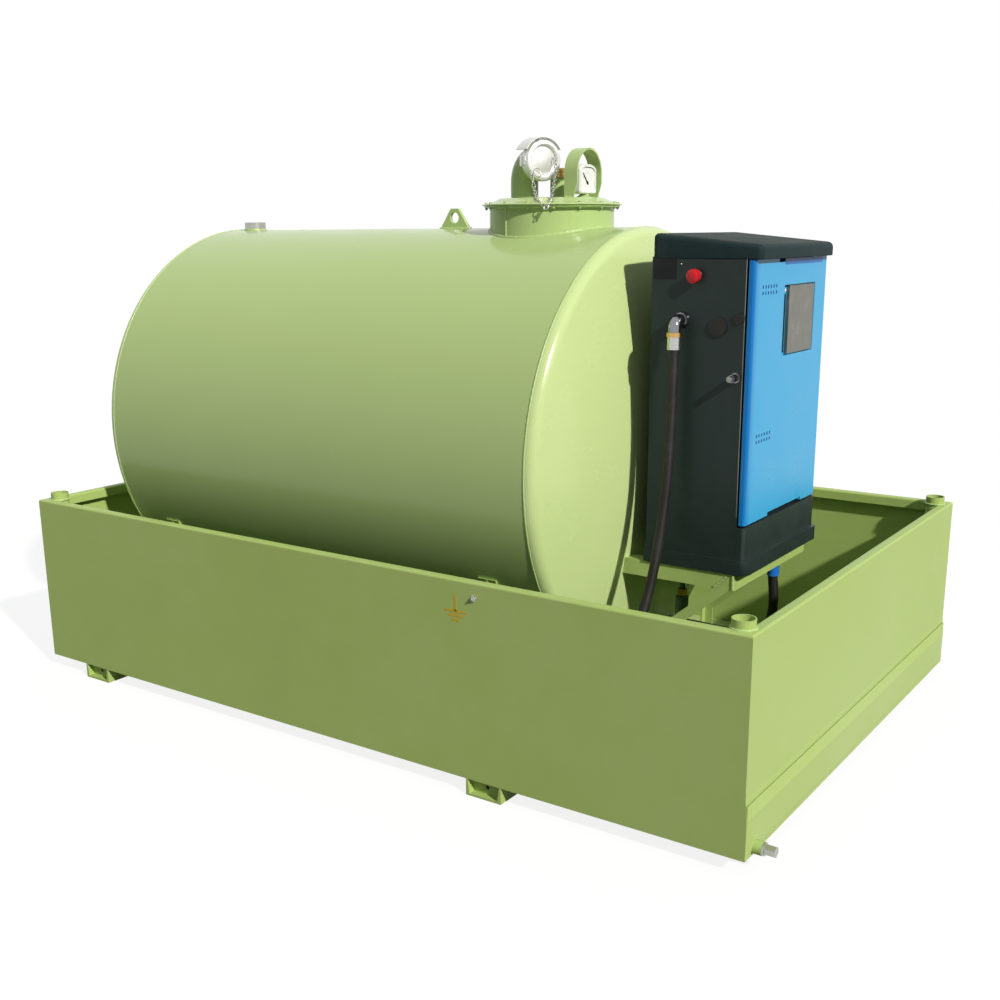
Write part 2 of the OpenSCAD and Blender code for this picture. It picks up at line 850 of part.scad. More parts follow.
module gauge_strap() {
    leg = strap_h - strap_w / 2;
    color(green) in_place() translate([lid_x + gauge_x, 0, crown_z + seat]) difference() {
        translate([-strap_d / 2, 0, 0]) rotate([90, 0, 90]) linear_extrude(strap_d) difference() {
            arch(strap_w / 2, leg, 0);
            arch(strap_w / 2 - strap_t, leg, 1);
        }
        translate([strap_d / 2 - strap_cut, -strap_w, 0])
            rotate([0, atan2(strap_cut, strap_cut_h), 0]) cube([strap_d, 2 * strap_w, strap_cut_h * 1.5]);
    }
}

// ---------------------------------------------------------------- cabinet frame

// Depth of the head's outside at a distance from the tank's axis
function head_at(d) =
    let (c = ((tank_r - knuckle_r) * (tank_r - knuckle_r) + head_d * head_d
              - knuckle_r * knuckle_r) / (2 * (head_d - knuckle_r)))
    head_d - c + sqrt(c * c - d * d);

// Everything inside the right head, so that what meets the head follows its curve
module head_clearance() {
    translate([seam_x, 0, tank_z]) rotate([0, 90, 0])
        rotate_extrude($fn = 180) head_section(tank_r + seat, head_d + seat, knuckle_r + seat);
}

// Angle bar along x, with its corner on the edge y = 0, z = 0 and its legs towards +y and -z
module angle_bar(length, width) {
    translate([0, 0, -width]) cube([length, bar_t, width]);
    translate([0, 0, -bar_t]) cube([length, width, bar_t]);
}

// The side bars are welded to the head, and the struts run down to short legs behind the cabinet
module cabinet_frame() {
    side = cab_w / 2;
    leg_x = cab_back - leg_back;
    strut_x = frame_front - strut_in;
    leg_h = frame_z - bar - (strut_x - leg_x) * tan(strut_a) + strut_w - floor_top;
    color(green) in_place() {
        for (m = [0, 1]) mirror([0, m, 0]) {
            difference() {
                translate([seam_x, -side, frame_z]) angle_bar(frame_front - seam_x, bar);
                head_clearance();
            }
            intersection() {
                translate([strut_x, -side, frame_z - bar]) rotate([0, -strut_a, 0])
                    translate([-2 * cab_d, 0, strut_w]) angle_bar(3 * cab_d, strut_w);
                translate([leg_x, -side, floor_top])
                    cube([cab_d + leg_back, bar, frame_z - bar + bar_t - floor_top]);
            }
            translate([leg_x, -side, floor_top]) cube([bar_t, strut_w, leg_h]);
            translate([leg_x, -side, floor_top]) cube([strut_w, bar_t, leg_h]);
        }
        translate([frame_front - bar_t, -side, frame_z - bar]) cube([bar_t, cab_w, bar]);
        translate([cab_back, side, frame_z]) rotate([0, 0, -90]) angle_bar(cab_w, bar);
    }
}

// ---------------------------------------------------------------- pump cabinet

// Plan from x = 0 to its front at x = depth, with its two front corners rounded
module rounded_plan(depth, width, r) {
    translate([0, -width / 2]) square([depth - r, width]);
    translate([0, -width / 2 + r]) square([depth, width - 2 * r]);
    for (s = [-1, 1]) translate([depth - r, s * (width / 2 - r)]) circle(r);
}

module cabinet_base() {
    plinth_back = cab_back - plinth_out;
    color(anthracite) in_place() difference() {
        union() {
            translate([plinth_back, 0, frame_z + seat]) linear_extrude(plinth_h - 2 * seat)
                rounded_plan(door_front + plinth_front - plinth_back, cab_w + 2 * plinth_out,
                             hood_round);
            translate([cab_front + seat, 0, base_z - 2 * seat]) linear_extrude(base_h + 2 * seat)
                rounded_plan(door_front - cab_front - seat, cab_w, door_round);
            translate([pin_x, pin_y, door_bottom - door_slit - 1])
                cylinder(r = pin_r, h = door_slit + pin_in - 1);
        }
        for (p = [[suction_x, suction_y], [cab_back + filter_x, -filter_y]])
            translate([p[0], p[1], frame_z - 1]) cylinder(r = nipple_r + seat, h = plinth_h);
    }
}

module cabinet_body() {
    color(anthracite) in_place() difference() {
        translate([cab_back, cab_side, base_z]) cube([cab_d, cab_w, cab_h]);
        translate([cab_back + cab_t, cab_side + cab_t, base_z + cab_t])
            cube([cab_d, cab_w - 2 * cab_t, cab_h - 2 * cab_t]);
        at_button() cylinder(r = stem_r + stem_gap, h = 4 * cab_t, center = true);
        at_outlet() cylinder(r = outlet_r - 4 + seat, h = 4 * cab_t, center = true);
    }
}

module cabinet_hood() {
    hood_w = cab_w + 2 * hood_side;
    depth = door_front + hood_over - cab_back + hood_side;
    color(anthracite) in_place() {
        translate([cab_back - hood_side, 0, body_top + seat]) intersection() {
            translate([0, hood_w / 2, 0]) rotate([90, 0, 0]) linear_extrude(hood_w)
                polygon([[0, 0], [depth, 0], [depth, hood_front], [0, hood_back]]);
            linear_extrude(hood_back) rounded_plan(depth, hood_w, hood_round);
        }
        translate([pin_x, pin_y, door_top - pin_in + 2])
            cylinder(r = pin_r, h = pin_in + door_slit);
    }
}

// Plan of the door, with a rounded free edge and a half round hinge edge around the pin
module door_plan(inset) {
    r = door_round;
    free = cab_side + door_in;
    translate([door_back + inset, free + r])
        square([door_d - 2 * inset, pin_y - free - r]);
    translate([door_back + inset, free + inset])
        square([door_d - inset - r, r]);
    translate([door_front - r, free + r]) circle(r - inset);
    translate([pin_x, pin_y]) circle(door_d / 2 - inset);
}

// Rows of narrow slots in the door's skin
module vents() {
    for (z = [vent_high, vent_low], row = [0, 1], i = [0:5])
        translate([door_front - 2 * door_t, vent_y + i * vent_pitch, door_top - z - row * vent_row])
            translate([0, 0, -vent_slot_h / 2]) cube([4 * door_t, vent_slot_w, vent_slot_h]);
}

module cabinet_door() {
    recess_z = door_top - display_z;
    color(blue) in_place() difference() {
        union() {
            difference() {
                translate([0, 0, door_bottom]) linear_extrude(door_h) door_plan(0);
                translate([0, 0, door_bottom + door_t])
                    linear_extrude(door_h - 2 * door_t) intersection() {
                        door_plan(door_t);
                        translate([door_back, cab_side]) square([door_d, cab_w - 3 * door_d]);
                    }
                translate([door_back - 1, cab_side + door_in + 3 * door_t, door_bottom + 3 * door_t])
                    cube([2 * door_t, cab_w - 3 * door_d, door_h - 6 * door_t]);
            }
            translate([door_back, display_y - display_w / 2 - door_t,
                       recess_z - display_h / 2 - door_t])
                cube([door_d, display_w + 2 * door_t, display_h + 2 * door_t]);
            for (z = [door_bottom, door_top - notch_h - door_t])
                translate([door_back, notch_y - notch_w / 2 - door_t, z])
                    cube([door_d, notch_w + 2 * door_t, notch_h + door_t]);
        }
        for (z = [door_bottom - 1, door_top - pin_in])
            translate([pin_x, pin_y, z]) cylinder(r = pin_r + pin_gap, h = pin_in + 1);
        translate([door_front - display_d, display_y - display_w / 2, recess_z - display_h / 2])
            cube([display_d + 1, display_w, display_h]);
        for (z = [door_bottom - 1, door_top - notch_h])
            translate([door_back + door_t, notch_y - notch_w / 2, z])
                cube([door_d, notch_w, notch_h + 1]);
        vents();
    }
}

module display_panel() {
    plate_y = display_y - display_w / 2 + plate_margin + strip_w;
    plate_z = door_top - display_z - display_h / 2 + plate_margin;
    color(steel) in_place() translate([door_front - display_d + seat, plate_y, plate_z])
        cube([display_t, display_w - 2 * plate_margin - strip_w, display_h - 2 * plate_margin]);
}

// ---------------------------------------------------------------- side fittings

// Places on the cabinet's side panel, with z pointing out of it
module on_side(x, z) {
    translate([cab_back + x, cab_side, z]) rotate([90, 0, 0]) children();
}

module at_button() {
    on_side(button_x, body_top - button_z) children();
}

module at_outlet() {
    on_side(outlet_x, body_top - outlet_z) children();
}

module stop_button() {
    color("red") in_place() at_button() {
        translate([0, 0, button_gap]) cylinder(r = button_r, h = button_t);
        translate([0, 0, -16]) cylinder(r = stem_r, h = button_gap + 17);
    }
}

module hose_outlet() {
    color(steel) in_place() at_outlet() {
        translate([0, 0, -10]) cylinder(r = outlet_r - 4, h = outlet_out + 10);
        translate([0, 0, seat]) cylinder(r = outlet_r + 4, h = 8, $fn = 6);
        translate([0, 0, outlet_out]) sphere(outlet_r);
        translate([0, 0, outlet_out]) rotate([90, 0, 0]) cylinder(r = outlet_r - 1, h = outlet_drop);
    }
}

module hose_swivel() {
    color(brass) in_place() at_outlet()
        translate([0, -outlet_drop - seat, outlet_out]) rotate([90, 0, 0])
            cylinder(r = ferrule_r + 2, h = swivel_h);
}

module hose_ferrule() {
    color(steel) in_place() at_outlet()
        translate([0, -outlet_drop - swivel_h - 2 * seat, outlet_out]) rotate([90, 0, 0])
            cylinder(r = ferrule_r, h = ferrule_l);
}

module blanking_discs() {
    color(black) in_place() {
        on_side(disc_x, body_top - disc_z) translate([0, 0, seat])
            cylinder(r = disc_r, h = disc_t);
        on_side(cab_d - small_disc_in, body_top - small_disc_z) translate([0, 0, seat])
            cylinder(r = small_disc_r, h = disc_t);
    }
}

module key_lock() {
    color(steel) in_place() on_side(cab_d - lock_in, body_top - lock_z) translate([0, 0, seat]) {
        cylinder(r = lock_r + 5, h = 4);
        cylinder(r = lock_r + 2, h = lock_out - lock_knob + 1);
        translate([0, 0, lock_out - lock_knob]) cylinder(r = lock_r, h = lock_knob);
    }
}

// ---------------------------------------------------------------- suction side

module suction_filter() {
    hang = bar + nipple_l;
    color(green) in_place() translate([cab_back + filter_x, -filter_y, frame_z]) {
        translate([0, 0, -hang - filter_h]) cylinder(r = filter_r, h = filter_h);
        translate([0, 0, -hang - 2]) cylinder(r = nipple_r, h = hang + 2);
    }
}

module suction_collar() {
    color(blue) in_place() translate([suction_x, suction_y, collar_end]) {
        cylinder(r = collar_r, h = collar_h);
        cylinder(r = nipple_r, h = frame_z + plinth_h / 2 - collar_end);
    }
}

module suction_outlet() {
    color(steel) in_place() difference() {
        translate([seam_x, intake_y, intake_z]) rotate([0, 90, 0])
            cylinder(r = collar_r - 1, h = intake_end - seam_x);
        head_clearance();
    }
}

function bezier(a, b, c, d, t) =
    pow(1 - t, 3) * a + 3 * pow(1 - t, 2) * t * b + 3 * (1 - t) * t * t * c + t * t * t * d;

// Route of the suction hose, from the collar under the cabinet to the intake on the head
hose_stub = 10;
suction_from = [suction_x, suction_y, collar_end - seat];
suction_to = [intake_end + seat, intake_y, intake_z];
suction_route = concat(
    [suction_from],
    [for (i = [0:18])
        bezier(suction_from - [0, 0, hose_stub], suction_from + [suction_lean, 0, -suction_fall],
               suction_to + [suction_run, 0, 0], suction_to + [hose_stub, 0, 0], i / 18)],
    [suction_to]
);

// Sweep of a round section along points
function unit(v) = v / norm(v);
function along(p, i) =
    unit(p[min(i + 1, len(p) - 1)] - p[max(i - 1, 0)]);
function across(t) = unit(cross(t, [0.13, 0.98, 0.11]));
function ring(c, t, r, n) =
    let (a = across(t), b = cross(t, a))
    [for (k = [0:n - 1]) c + r * (cos(k * 360 / n) * a + sin(k * 360 / n) * b)];

module sweep(p, r, n) {
    rings = [for (i = [0:len(p) - 1]) each ring(p[i], along(p, i), r, n)];
    last = (len(p) - 1) * n;
    polyhedron(
        points = rings,
        faces = concat(
            [[for (k = [0:n - 1]) k]],
            [for (i = [0:len(p) - 2], k = [0:n - 1])
                [i * n + k, (i + 1) * n + k, (i + 1) * n + (k + 1) % n, i * n + (k + 1) % n]],
            [[for (k = [n - 1:-1:0]) last + k]]
        )
    );
}

module suction_hose() {
    color(black) in_place() sweep(suction_route, suction_d / 2, 10);
}

// ---------------------------------------------------------------- delivery hose

hose_x = cab_back + outlet_x;
hose_y = cab_side - outlet_out;
hose_top = body_top - outlet_z - outlet_drop - swivel_h - ferrule_l - 3 * seat;

// The coil is five half turns, each wider than the one before, and lies beside the front wall
half_turns = 5;
turn_step = (hose_d + coil_gap) / 2;
turn_radii = [for (i = [0:half_turns - 1]) coil_in + i * turn_step - (i == 0 ? coil_lead : 0)];
coil_out = turn_radii[half_turns - 1];
// Where half turn number i starts, along x from the coil's start
function turn_start(i) = i == 0 ? 0 : turn_start(i - 1) + (i % 2 == 1 ? 2 : -2) * turn_radii[i - 1];
coil_x = hose_x - coil_back;
coil_y = -bund_w / 2 + sheet_t + 8 + hose_d / 2 + coil_out;
coil_z = floor_top + hose_d / 2;
tail_x = coil_x + turn_start(half_turns);
tail_l = 100;

// Way of the delivery hose between the ferrule and the bend above the floor:
// share of the height left, with the share of the way to the coil
hose_way = [
    [0.97, 0], [0.9, 0.01], [0.83, 0.02], [0.75, 0.04], [0.66, 0.075], [0.58, 0.13],
    [0.51, 0.2], [0.44, 0.29], [0.38, 0.38], [0.33, 0.47], [0.28, 0.59], [0.22, 0.74],
    [0.16, 0.87], [0.1, 0.96], [0.04, 1], [0, 1]
];
landing_y = coil_y + seat + landing_end + landing_r;
landing_z = coil_z + landing_r;
hose_route = concat(
    [[hose_x, hose_y, hose_top]],
    [for (w = hose_way)
        [hose_x + w[1] * (coil_x - hose_x), hose_y + w[1] * (landing_y - hose_y),
         landing_z + w[0] * (hose_top - landing_z)]],
    [for (a = [10:10:90])
        [coil_x, coil_y + seat + landing_end + landing_r * cos(a), landing_z - landing_r * sin(a)]],
    [[coil_x, coil_y + seat, coil_z]]
);

module delivery_hose() {
    color(black) in_place() sweep(hose_route, hose_d / 2, 10);
}

module delivery_coil() {
    color(black) in_place() {
        for (i = [0:half_turns - 1]) {
            middle = (turn_start(i) + turn_start(i + 1)) / 2;
            translate([coil_x + middle, coil_y, coil_z]) rotate([0, 0, i % 2 == 1 ? 0 : 180])
                rotate_extrude(angle = 180, $fn = 64) translate([turn_radii[i], 0])
                    circle(hose_d / 2, $fn = 24);
        }
        translate([tail_x, coil_y - eps, coil_z]) rotate([-90, 0, 0])
            cylinder(r = hose_d / 2, h = tail_l + eps, $fn = 24);
    }
}

module nozzle() {
    color(steel) in_place() translate([tail_x, coil_y + tail_l + seat, floor_top + nozzle_r + seat])
        rotate([-90, 0, 0]) rotate_extrude() polygon([
            [0, 0], [swivel_end_r, 0], [swivel_end_r, swivel_end_l],
            [nozzle_r, swivel_end_l + nozzle_r - swivel_end_r],
            [nozzle_r, nozzle_l - nozzle_r + spout_r], [spout_r, nozzle_l],
            [spout_r, nozzle_l + spout_l], [0, nozzle_l + spout_l]
        ]);
}

bund_floor();
front_wall();
rear_wall();
left_wall();
right_wall();
post_sockets();
runners();
drain_coupling();
drain_plug();
saddle_left();
saddle_right();
tank_shell();
head_left();
head_right();
lifting_eye();
vent_coupling();
manhole_neck();
manhole_lid();
fill_pipe();
fill_coupling();
fill_cap();
fill_guard();
dip_pipe();
dip_plug();
gauge_stem();
gauge_box();
gauge_strap();
cabinet_frame();
cabinet_base();
cabinet_body();
cabinet_hood();
cabinet_door();
display_panel();
stop_button();
hose_outlet();
hose_swivel();
hose_ferrule();
blanking_discs();
key_lock();
suction_filter();
suction_collar();
suction_outlet();
suction_hose();
delivery_hose();
delivery_coil();
nozzle();
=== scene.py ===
import json
import math

import bmesh
import bpy
from mathutils import Matrix, Vector

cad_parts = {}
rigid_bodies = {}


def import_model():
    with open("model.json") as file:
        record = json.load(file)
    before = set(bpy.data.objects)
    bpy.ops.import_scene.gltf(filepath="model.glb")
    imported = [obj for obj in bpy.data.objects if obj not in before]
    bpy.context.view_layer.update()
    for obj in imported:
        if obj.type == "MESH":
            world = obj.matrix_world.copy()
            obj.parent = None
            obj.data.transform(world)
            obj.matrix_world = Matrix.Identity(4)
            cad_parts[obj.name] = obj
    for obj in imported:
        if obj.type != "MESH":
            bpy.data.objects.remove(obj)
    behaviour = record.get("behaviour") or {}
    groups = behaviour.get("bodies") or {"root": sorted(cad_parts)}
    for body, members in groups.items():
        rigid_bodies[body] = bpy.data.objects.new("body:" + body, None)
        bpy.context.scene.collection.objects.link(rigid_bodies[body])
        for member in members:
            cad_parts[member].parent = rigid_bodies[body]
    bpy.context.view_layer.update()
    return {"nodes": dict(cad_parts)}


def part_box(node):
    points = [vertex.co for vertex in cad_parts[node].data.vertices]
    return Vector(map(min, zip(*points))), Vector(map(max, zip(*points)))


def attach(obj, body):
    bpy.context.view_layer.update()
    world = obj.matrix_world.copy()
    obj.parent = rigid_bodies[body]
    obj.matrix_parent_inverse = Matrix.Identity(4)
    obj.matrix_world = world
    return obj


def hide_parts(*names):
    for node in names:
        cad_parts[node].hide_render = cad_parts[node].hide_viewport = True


for leftover in list(bpy.data.objects):
    bpy.data.objects.remove(leftover)
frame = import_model()
nodes = frame["nodes"]

UP = Vector((0, 0, 1))
FRONT = Vector((0, -1, 0))  # out of the front wall and out of the cabinet's side
SEAT = 0.0003  # gap between two pieces that touch
NECK_R = 0.183  # outer radius of the manhole's neck
LID_T = 0.005  # thickness of the lid and of the neck's flange
FILL_IN = 0.096  # from the lid's middle to the fill pipe


# ---- places taken from the frame

def middle(node):
    low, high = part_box(node)
    return (low + high) / 2


def size(node):
    low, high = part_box(node)
    return high - low


shell_low, shell_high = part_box("tank_shell")
tank_axis = (shell_low.z + shell_high.z) / 2
tank_r = size("tank_shell").y / 2
lid_low, lid_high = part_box("manhole_lid")
lid_mid = middle("manhole_lid")
neck_low, neck_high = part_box("manhole_neck")
wall_low, wall_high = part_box("front_wall")
rim_z = wall_high.z
bund_x = (wall_low.x + wall_high.x) / 2
front_y = wall_low.y
body_low, body_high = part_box("cabinet_body")
door_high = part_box("cabinet_door")[1]
gauge_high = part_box("gauge_box")[1]


# ---- camera

def make_camera():
    yaw, pitch, roll = 0.6066, 0.2535, -0.0071
    forward = Vector((-math.sin(yaw) * math.cos(pitch), math.cos(yaw) * math.cos(pitch), -math.sin(pitch)))
    level = Vector((math.cos(yaw), math.sin(yaw), 0))
    above = level.cross(forward)
    right = math.cos(roll) * level + math.sin(roll) * above
    upward = -math.sin(roll) * level + math.cos(roll) * above
    data = bpy.data.cameras.new("camera")
    data.lens = 43.6
    data.sensor_width = 36
    data.shift_y = 0.0431
    camera = bpy.data.objects.new("camera", data)
    turn = Matrix((right, upward, -forward)).transposed()
    eye = (2.1821, -3.1244, 1.4322)
    camera.matrix_world = Matrix.Translation(eye) @ turn.to_4x4()
    bpy.context.scene.collection.objects.link(camera)
    bpy.context.scene.camera = camera


make_camera()


# ---- mesh helpers

def add_object(name, mesh):
    piece = bpy.data.objects.new(name, mesh)
    bpy.context.scene.collection.objects.link(piece)
    return piece


def finish_mesh(bm, name, smooth_under=35):
    """Merges doubles, turns the faces outwards and shades round stretches smooth."""
    bmesh.ops.remove_doubles(bm, verts=bm.verts, dist=1e-6)
    bmesh.ops.recalc_face_normals(bm, faces=bm.faces)
    limit = math.radians(smooth_under)
    for edge in bm.edges:
        edge.smooth = len(edge.link_faces) == 2 and edge.calc_face_angle(0) < limit
    for face in bm.faces:
        face.smooth = True
    mesh = bpy.data.meshes.new(name)
    bm.to_mesh(mesh)
    bm.free()
    return mesh


def round_edges(piece, width, segments=2, angle=40):
    """Small rounded edges, made by a modifier alone."""
    edges = piece.modifiers.new("edges", "BEVEL")
    edges.width = width
    edges.segments = segments
    edges.limit_method = "ANGLE"
    edges.angle_limit = math.radians(angle)


def dress(piece, material, body, bevel=None):
    """Gives a piece its material and edges, and lets it ride on a body."""
    piece.data.materials.clear()
    piece.data.materials.append(material)
    if bevel:
        round_edges(piece, bevel)
    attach(piece, body)


def spin_profile(bm, profile, place=Matrix.Identity(4), segments=48):
    """Turns a closed outline of (radius, height) points about the local z axis."""
    rings = []
    for k in range(segments):
        turn = 2 * math.pi * k / segments
        rings.append([
            bm.verts.new(place @ Vector((r * math.cos(turn), r * math.sin(turn), h)))
            for r, h in profile
        ])
    count = len(profile)
    for k in range(segments):
        one, two = rings[k], rings[(k + 1) % segments]
        for i in range(count - 1):
            flat = [one[i], two[i], two[i + 1], one[i + 1]]
            corners = []
            for v in flat:
                if not corners or (v.co - corners[-1].co).length > 1e-9:
                    corners.append(v)
            if len(corners) > 1 and (corners[0].co - corners[-1].co).length < 1e-9:
                corners.pop()
            if len(corners) > 2:
                bm.faces.new(corners)


def block(bm, low, high):
    low, high = Vector(low), Vector(high)
    made = bmesh.ops.create_cube(bm, size=1)
    stretch = Matrix.Translation((low + high) / 2) @ Matrix.Diagonal((*(high - low), 1))
    bmesh.ops.transform(bm, matrix=stretch, verts=made["verts"])


def loft(bm, rows):
    """Joins closed rows of points into a solid with a flat face at either end."""
    rows = [[bm.verts.new(p) for p in row] for row in rows]
    bm.faces.new(rows[0][::-1])
    bm.faces.new(rows[-1])
    for one, two in zip(rows, rows[1:]):
        for i in range(len(one)):
            j = (i + 1) % len(one)
            bm.faces.new((one[i], one[j], two[j], two[i]))


def plate(bm, outline, thickness, place=Matrix.Identity(4)):
    """A flat plate: outline in x and y, from z = 0 to thickness."""
    loft(bm, [[place @ Vector((x, y, z)) for x, y in outline] for z in (0, thickness)])


def sweep_mesh(name, path, radius, sides, closed=False):
    """A round tube along points, with u around it and v along it in metres."""
    path = [Vector(p) for p in path]
    count = len(path)
    bm = bmesh.new()
    layer = bm.loops.layers.uv.new("along")
    tangents = []
    for i in range(count):
        ahead = path[(i + 1) % count] if closed else path[min(i + 1, count - 1)]
        behind = path[i - 1] if closed or i else path[0]
        tangents.append((ahead - behind).normalized())
    side = tangents[0].cross(UP)
    if side.length < 0.2:
        side = tangents[0].cross(Vector((0, 1, 0)))
    side.normalize()
    rings, far, lengths = [], 0.0, []
    for i in range(count):
        side = (side - side.dot(tangents[i]) * tangents[i]).normalized()
        other = tangents[i].cross(side)
        if i:
            far += (path[i] - path[i - 1]).length
        lengths.append(far)
        rings.append([
            bm.verts.new(path[i] + radius * (math.cos(a) * side + math.sin(a) * other))
            for a in (2 * math.pi * k / sides for k in range(sides))
        ])
    steps = count if closed else count - 1
    for i in range(steps):
        j = (i + 1) % count
        for k in range(sides):
            n = (k + 1) % sides
            face = bm.faces.new((rings[i][k], rings[i][n], rings[j][n], rings[j][k]))
            v0, v1 = lengths[i], lengths[j] if j else lengths[i] + (path[0] - path[i]).length
            for loop, uv in zip(face.loops, ((k, v0), (k + 1, v0), (k + 1, v1), (k, v1))):
                loop[layer].uv = (uv[0] / sides, uv[1])
    if not closed:
        bm.faces.new(rings[0][::-1])
        bm.faces.new(rings[-1])
    return finish_mesh(bm, name, 50)


def smooth_path(points, per_span=6):
    """A smooth curve through points."""
    points = [Vector(p) for p in points]
    ends = [2 * points[0] - points[1]] + points + [2 * points[-1] - points[-2]]
    path = []
    for i in range(1, len(ends) - 2):
        a, b, c, d = ends[i - 1:i + 3]
        for k in range(per_span):
            t = k / per_span
            path.append(0.5 * (2 * b + (c - a) * t + (2 * a - 5 * b + 4 * c - d) * t * t
                               + (3 * b - a - 3 * c + d) * t ** 3))
    return path + [points[-1]]


def quarter_arcs(corners, steps):
    """An outline of quarter turns, each (middle x, middle y, radius in x, radius in y), from +x on."""
    outline = []
    for turn, (cx, cy, rx, ry) in enumerate(corners):
        for k in range(steps + 1):
            a = math.radians(90 * turn + 90 * k / steps)
            outline.append((cx + rx * math.cos(a), cy + ry * math.sin(a)))
    return outline


def facing(origin, out=FRONT, up=UP):
    """A place whose z points out of a surface and whose y points up on it."""
    out = Vector(out).normalized()
    x = Vector(up).cross(out).normalized()
    y = out.cross(x)
    return Matrix.Translation(origin) @ Matrix((x, y, out)).transposed().to_4x4()


def bm_piece(name, bm, material, body="tank", smooth_under=35, bevel=None):
    """Makes a dressed piece of a bmesh."""
    dress(add_object(name, finish_mesh(bm, name, smooth_under)), material, body, bevel)


def turned_piece(name, profile, place, segments, material, body="tank"):
    """A piece turned from one closed profile of (radius, height) points."""
    bm = bmesh.new()
    spin_profile(bm, profile, place, segments)
    bm_piece(name, bm, material, body)


def block_piece(name, blocks, material, body="tank", bevel=None):
    """A piece made of plain blocks, each with its low and high corner."""
    bm = bmesh.new()
    for low, high in blocks:
        block(bm, low, high)
    bm_piece(name, bm, material, body, bevel=bevel)


def tube_piece(name, path, radius, sides, material, closed=False):
    """A round tube or bar along a path."""
    piece = add_object(name, sweep_mesh(name, path, radius, sides, closed))
    dress(piece, material, "tank")
    return piece


# ---- shader groups

class Nodes:
    """Short words for building a node tree."""

    def __init__(self, tree):
        self.tree = tree

    def add(self, kind, inputs=(), **settings):
        node = self.tree.nodes.new(kind)
        for key, value in settings.items():
            setattr(node, key, value)
        for key, value in dict(inputs).items():
            self.put(node.inputs[key], value)
        return node

    def out(self, kind, inputs=(), key=0, **settings):
        """Adds a node and gives one of its outputs."""
        return self.add(kind, inputs, **settings).outputs[key]

    def put(self, socket, value):
        if isinstance(value, bpy.types.NodeSocket):
            self.tree.links.new(value, socket)
        elif hasattr(socket.default_value, "__len__") and not hasattr(value, "__len__"):
            socket.default_value = [value] * len(socket.default_value)
        else:
            socket.default_value = value

    def math(self, operation, a, b=0.0, clamp=False):
        return self.out("ShaderNodeMath", {0: a, 1: b}, operation=operation, use_clamp=clamp)

    def noise(self, vector, scale, detail, roughness):
        return self.out("ShaderNodeTexNoise", {
            "Vector": vector, "Scale": scale, "Detail": detail, "Roughness": roughness}, "Fac")

    def spread(self, value, low, high, to_low=0.0, to_high=1.0):
        return self.out("ShaderNodeMapRange", {
            "Value": value, "From Min": low, "From Max": high, "To Min": to_low, "To Max": to_high})

    def seen(self):
        """1 for what the camera sees, straight or in gloss, and 0 for what only lights the scene."""
        ray = self.add("ShaderNodeLightPath").outputs
        gloss = self.math("MAXIMUM", ray["Is Glossy Ray"], ray["Is Transmission Ray"])
        return self.math("MAXIMUM", ray["Is Camera Ray"], gloss)

    def blend(self, factor, a, b):
        return self.out("ShaderNodeMix", {0: factor, 6: a, 7: b}, 2, data_type="RGBA")

    def coords(self, scale=(1, 1, 1)):
        place = self.out("ShaderNodeTexCoord", key="Object")
        return self.out("ShaderNodeMapping", {"Vector": place, "Scale": scale})

    def upright(self, z):
        """A vector that points up by z."""
        return self.out("ShaderNodeCombineXYZ", {"Z": z})


SOCKETS = {"c": "NodeSocketColor", "f": "NodeSocketFloat", "v": "NodeSocketVector",
           "i": "NodeSocketInt", "m": "NodeSocketMaterial", "g": "NodeSocketGeometry"}


def open_group(name, tree_kind, inputs, outputs):
    """An empty node group, with the ends to build between."""
    tree = bpy.data.node_groups.new(name, tree_kind)
    for label, kind, value in inputs:
        socket = tree.interface.new_socket(label, in_out="INPUT", socket_type=SOCKETS[kind])
        if value is not None:
            socket.default_value = value
    for label, kind in outputs:
        tree.interface.new_socket(label, in_out="OUTPUT", socket_type=SOCKETS[kind])
    given = tree.nodes.new("NodeGroupInput").outputs
    return tree, Nodes(tree), given, tree.nodes.new("NodeGroupOutput").inputs


def shader_group(name, inputs, outputs, build):
    """A shader group with named inputs and outputs, filled by build(nodes, inputs)."""
    tree, n, given, sink = open_group(name, "ShaderNodeTree", inputs, outputs)
    for label, value in build(n, given).items():
        tree.links.new(value, sink[label])
    return tree


def tinted(n, given, tone, dark=(0, 0, 0, 1)):
    """The given colour, lighter where the tone is above zero and darker where it is below."""
    tone = n.math("MULTIPLY", tone, given["Variation"])
    light = n.blend(n.math("MAXIMUM", tone, 0.0), given["Colour"], (1, 1, 1, 1))
    return n.blend(n.math("MAXIMUM", n.math("MULTIPLY", tone, -1.0), 0.0), light, dark)


def build_paint(n, given):
    """Sprayed paint: slow changes of tone, orange peel, and duller patches."""
    place = n.coords()
    slow = n.noise(place, 1.3, 4.0, 0.55)
    patch = n.noise(place, 9.0, 5.0, 0.6)
    peel = n.noise(place, given["Peel Scale"], 2.0, 0.4)
    tone = n.math("ADD", n.spread(slow, 0.3, 0.7, -1, 1), n.spread(patch, 0.3, 0.7, -0.5, 0.5))
    shade = tinted(n, given, tone, (0.02, 0.03, 0.01, 1))
    rough = n.math("ADD", given["Roughness"], n.spread(patch, 0.35, 0.75, -0.05, 0.08))
    return {"Colour": shade, "Roughness": rough, "Height": peel}


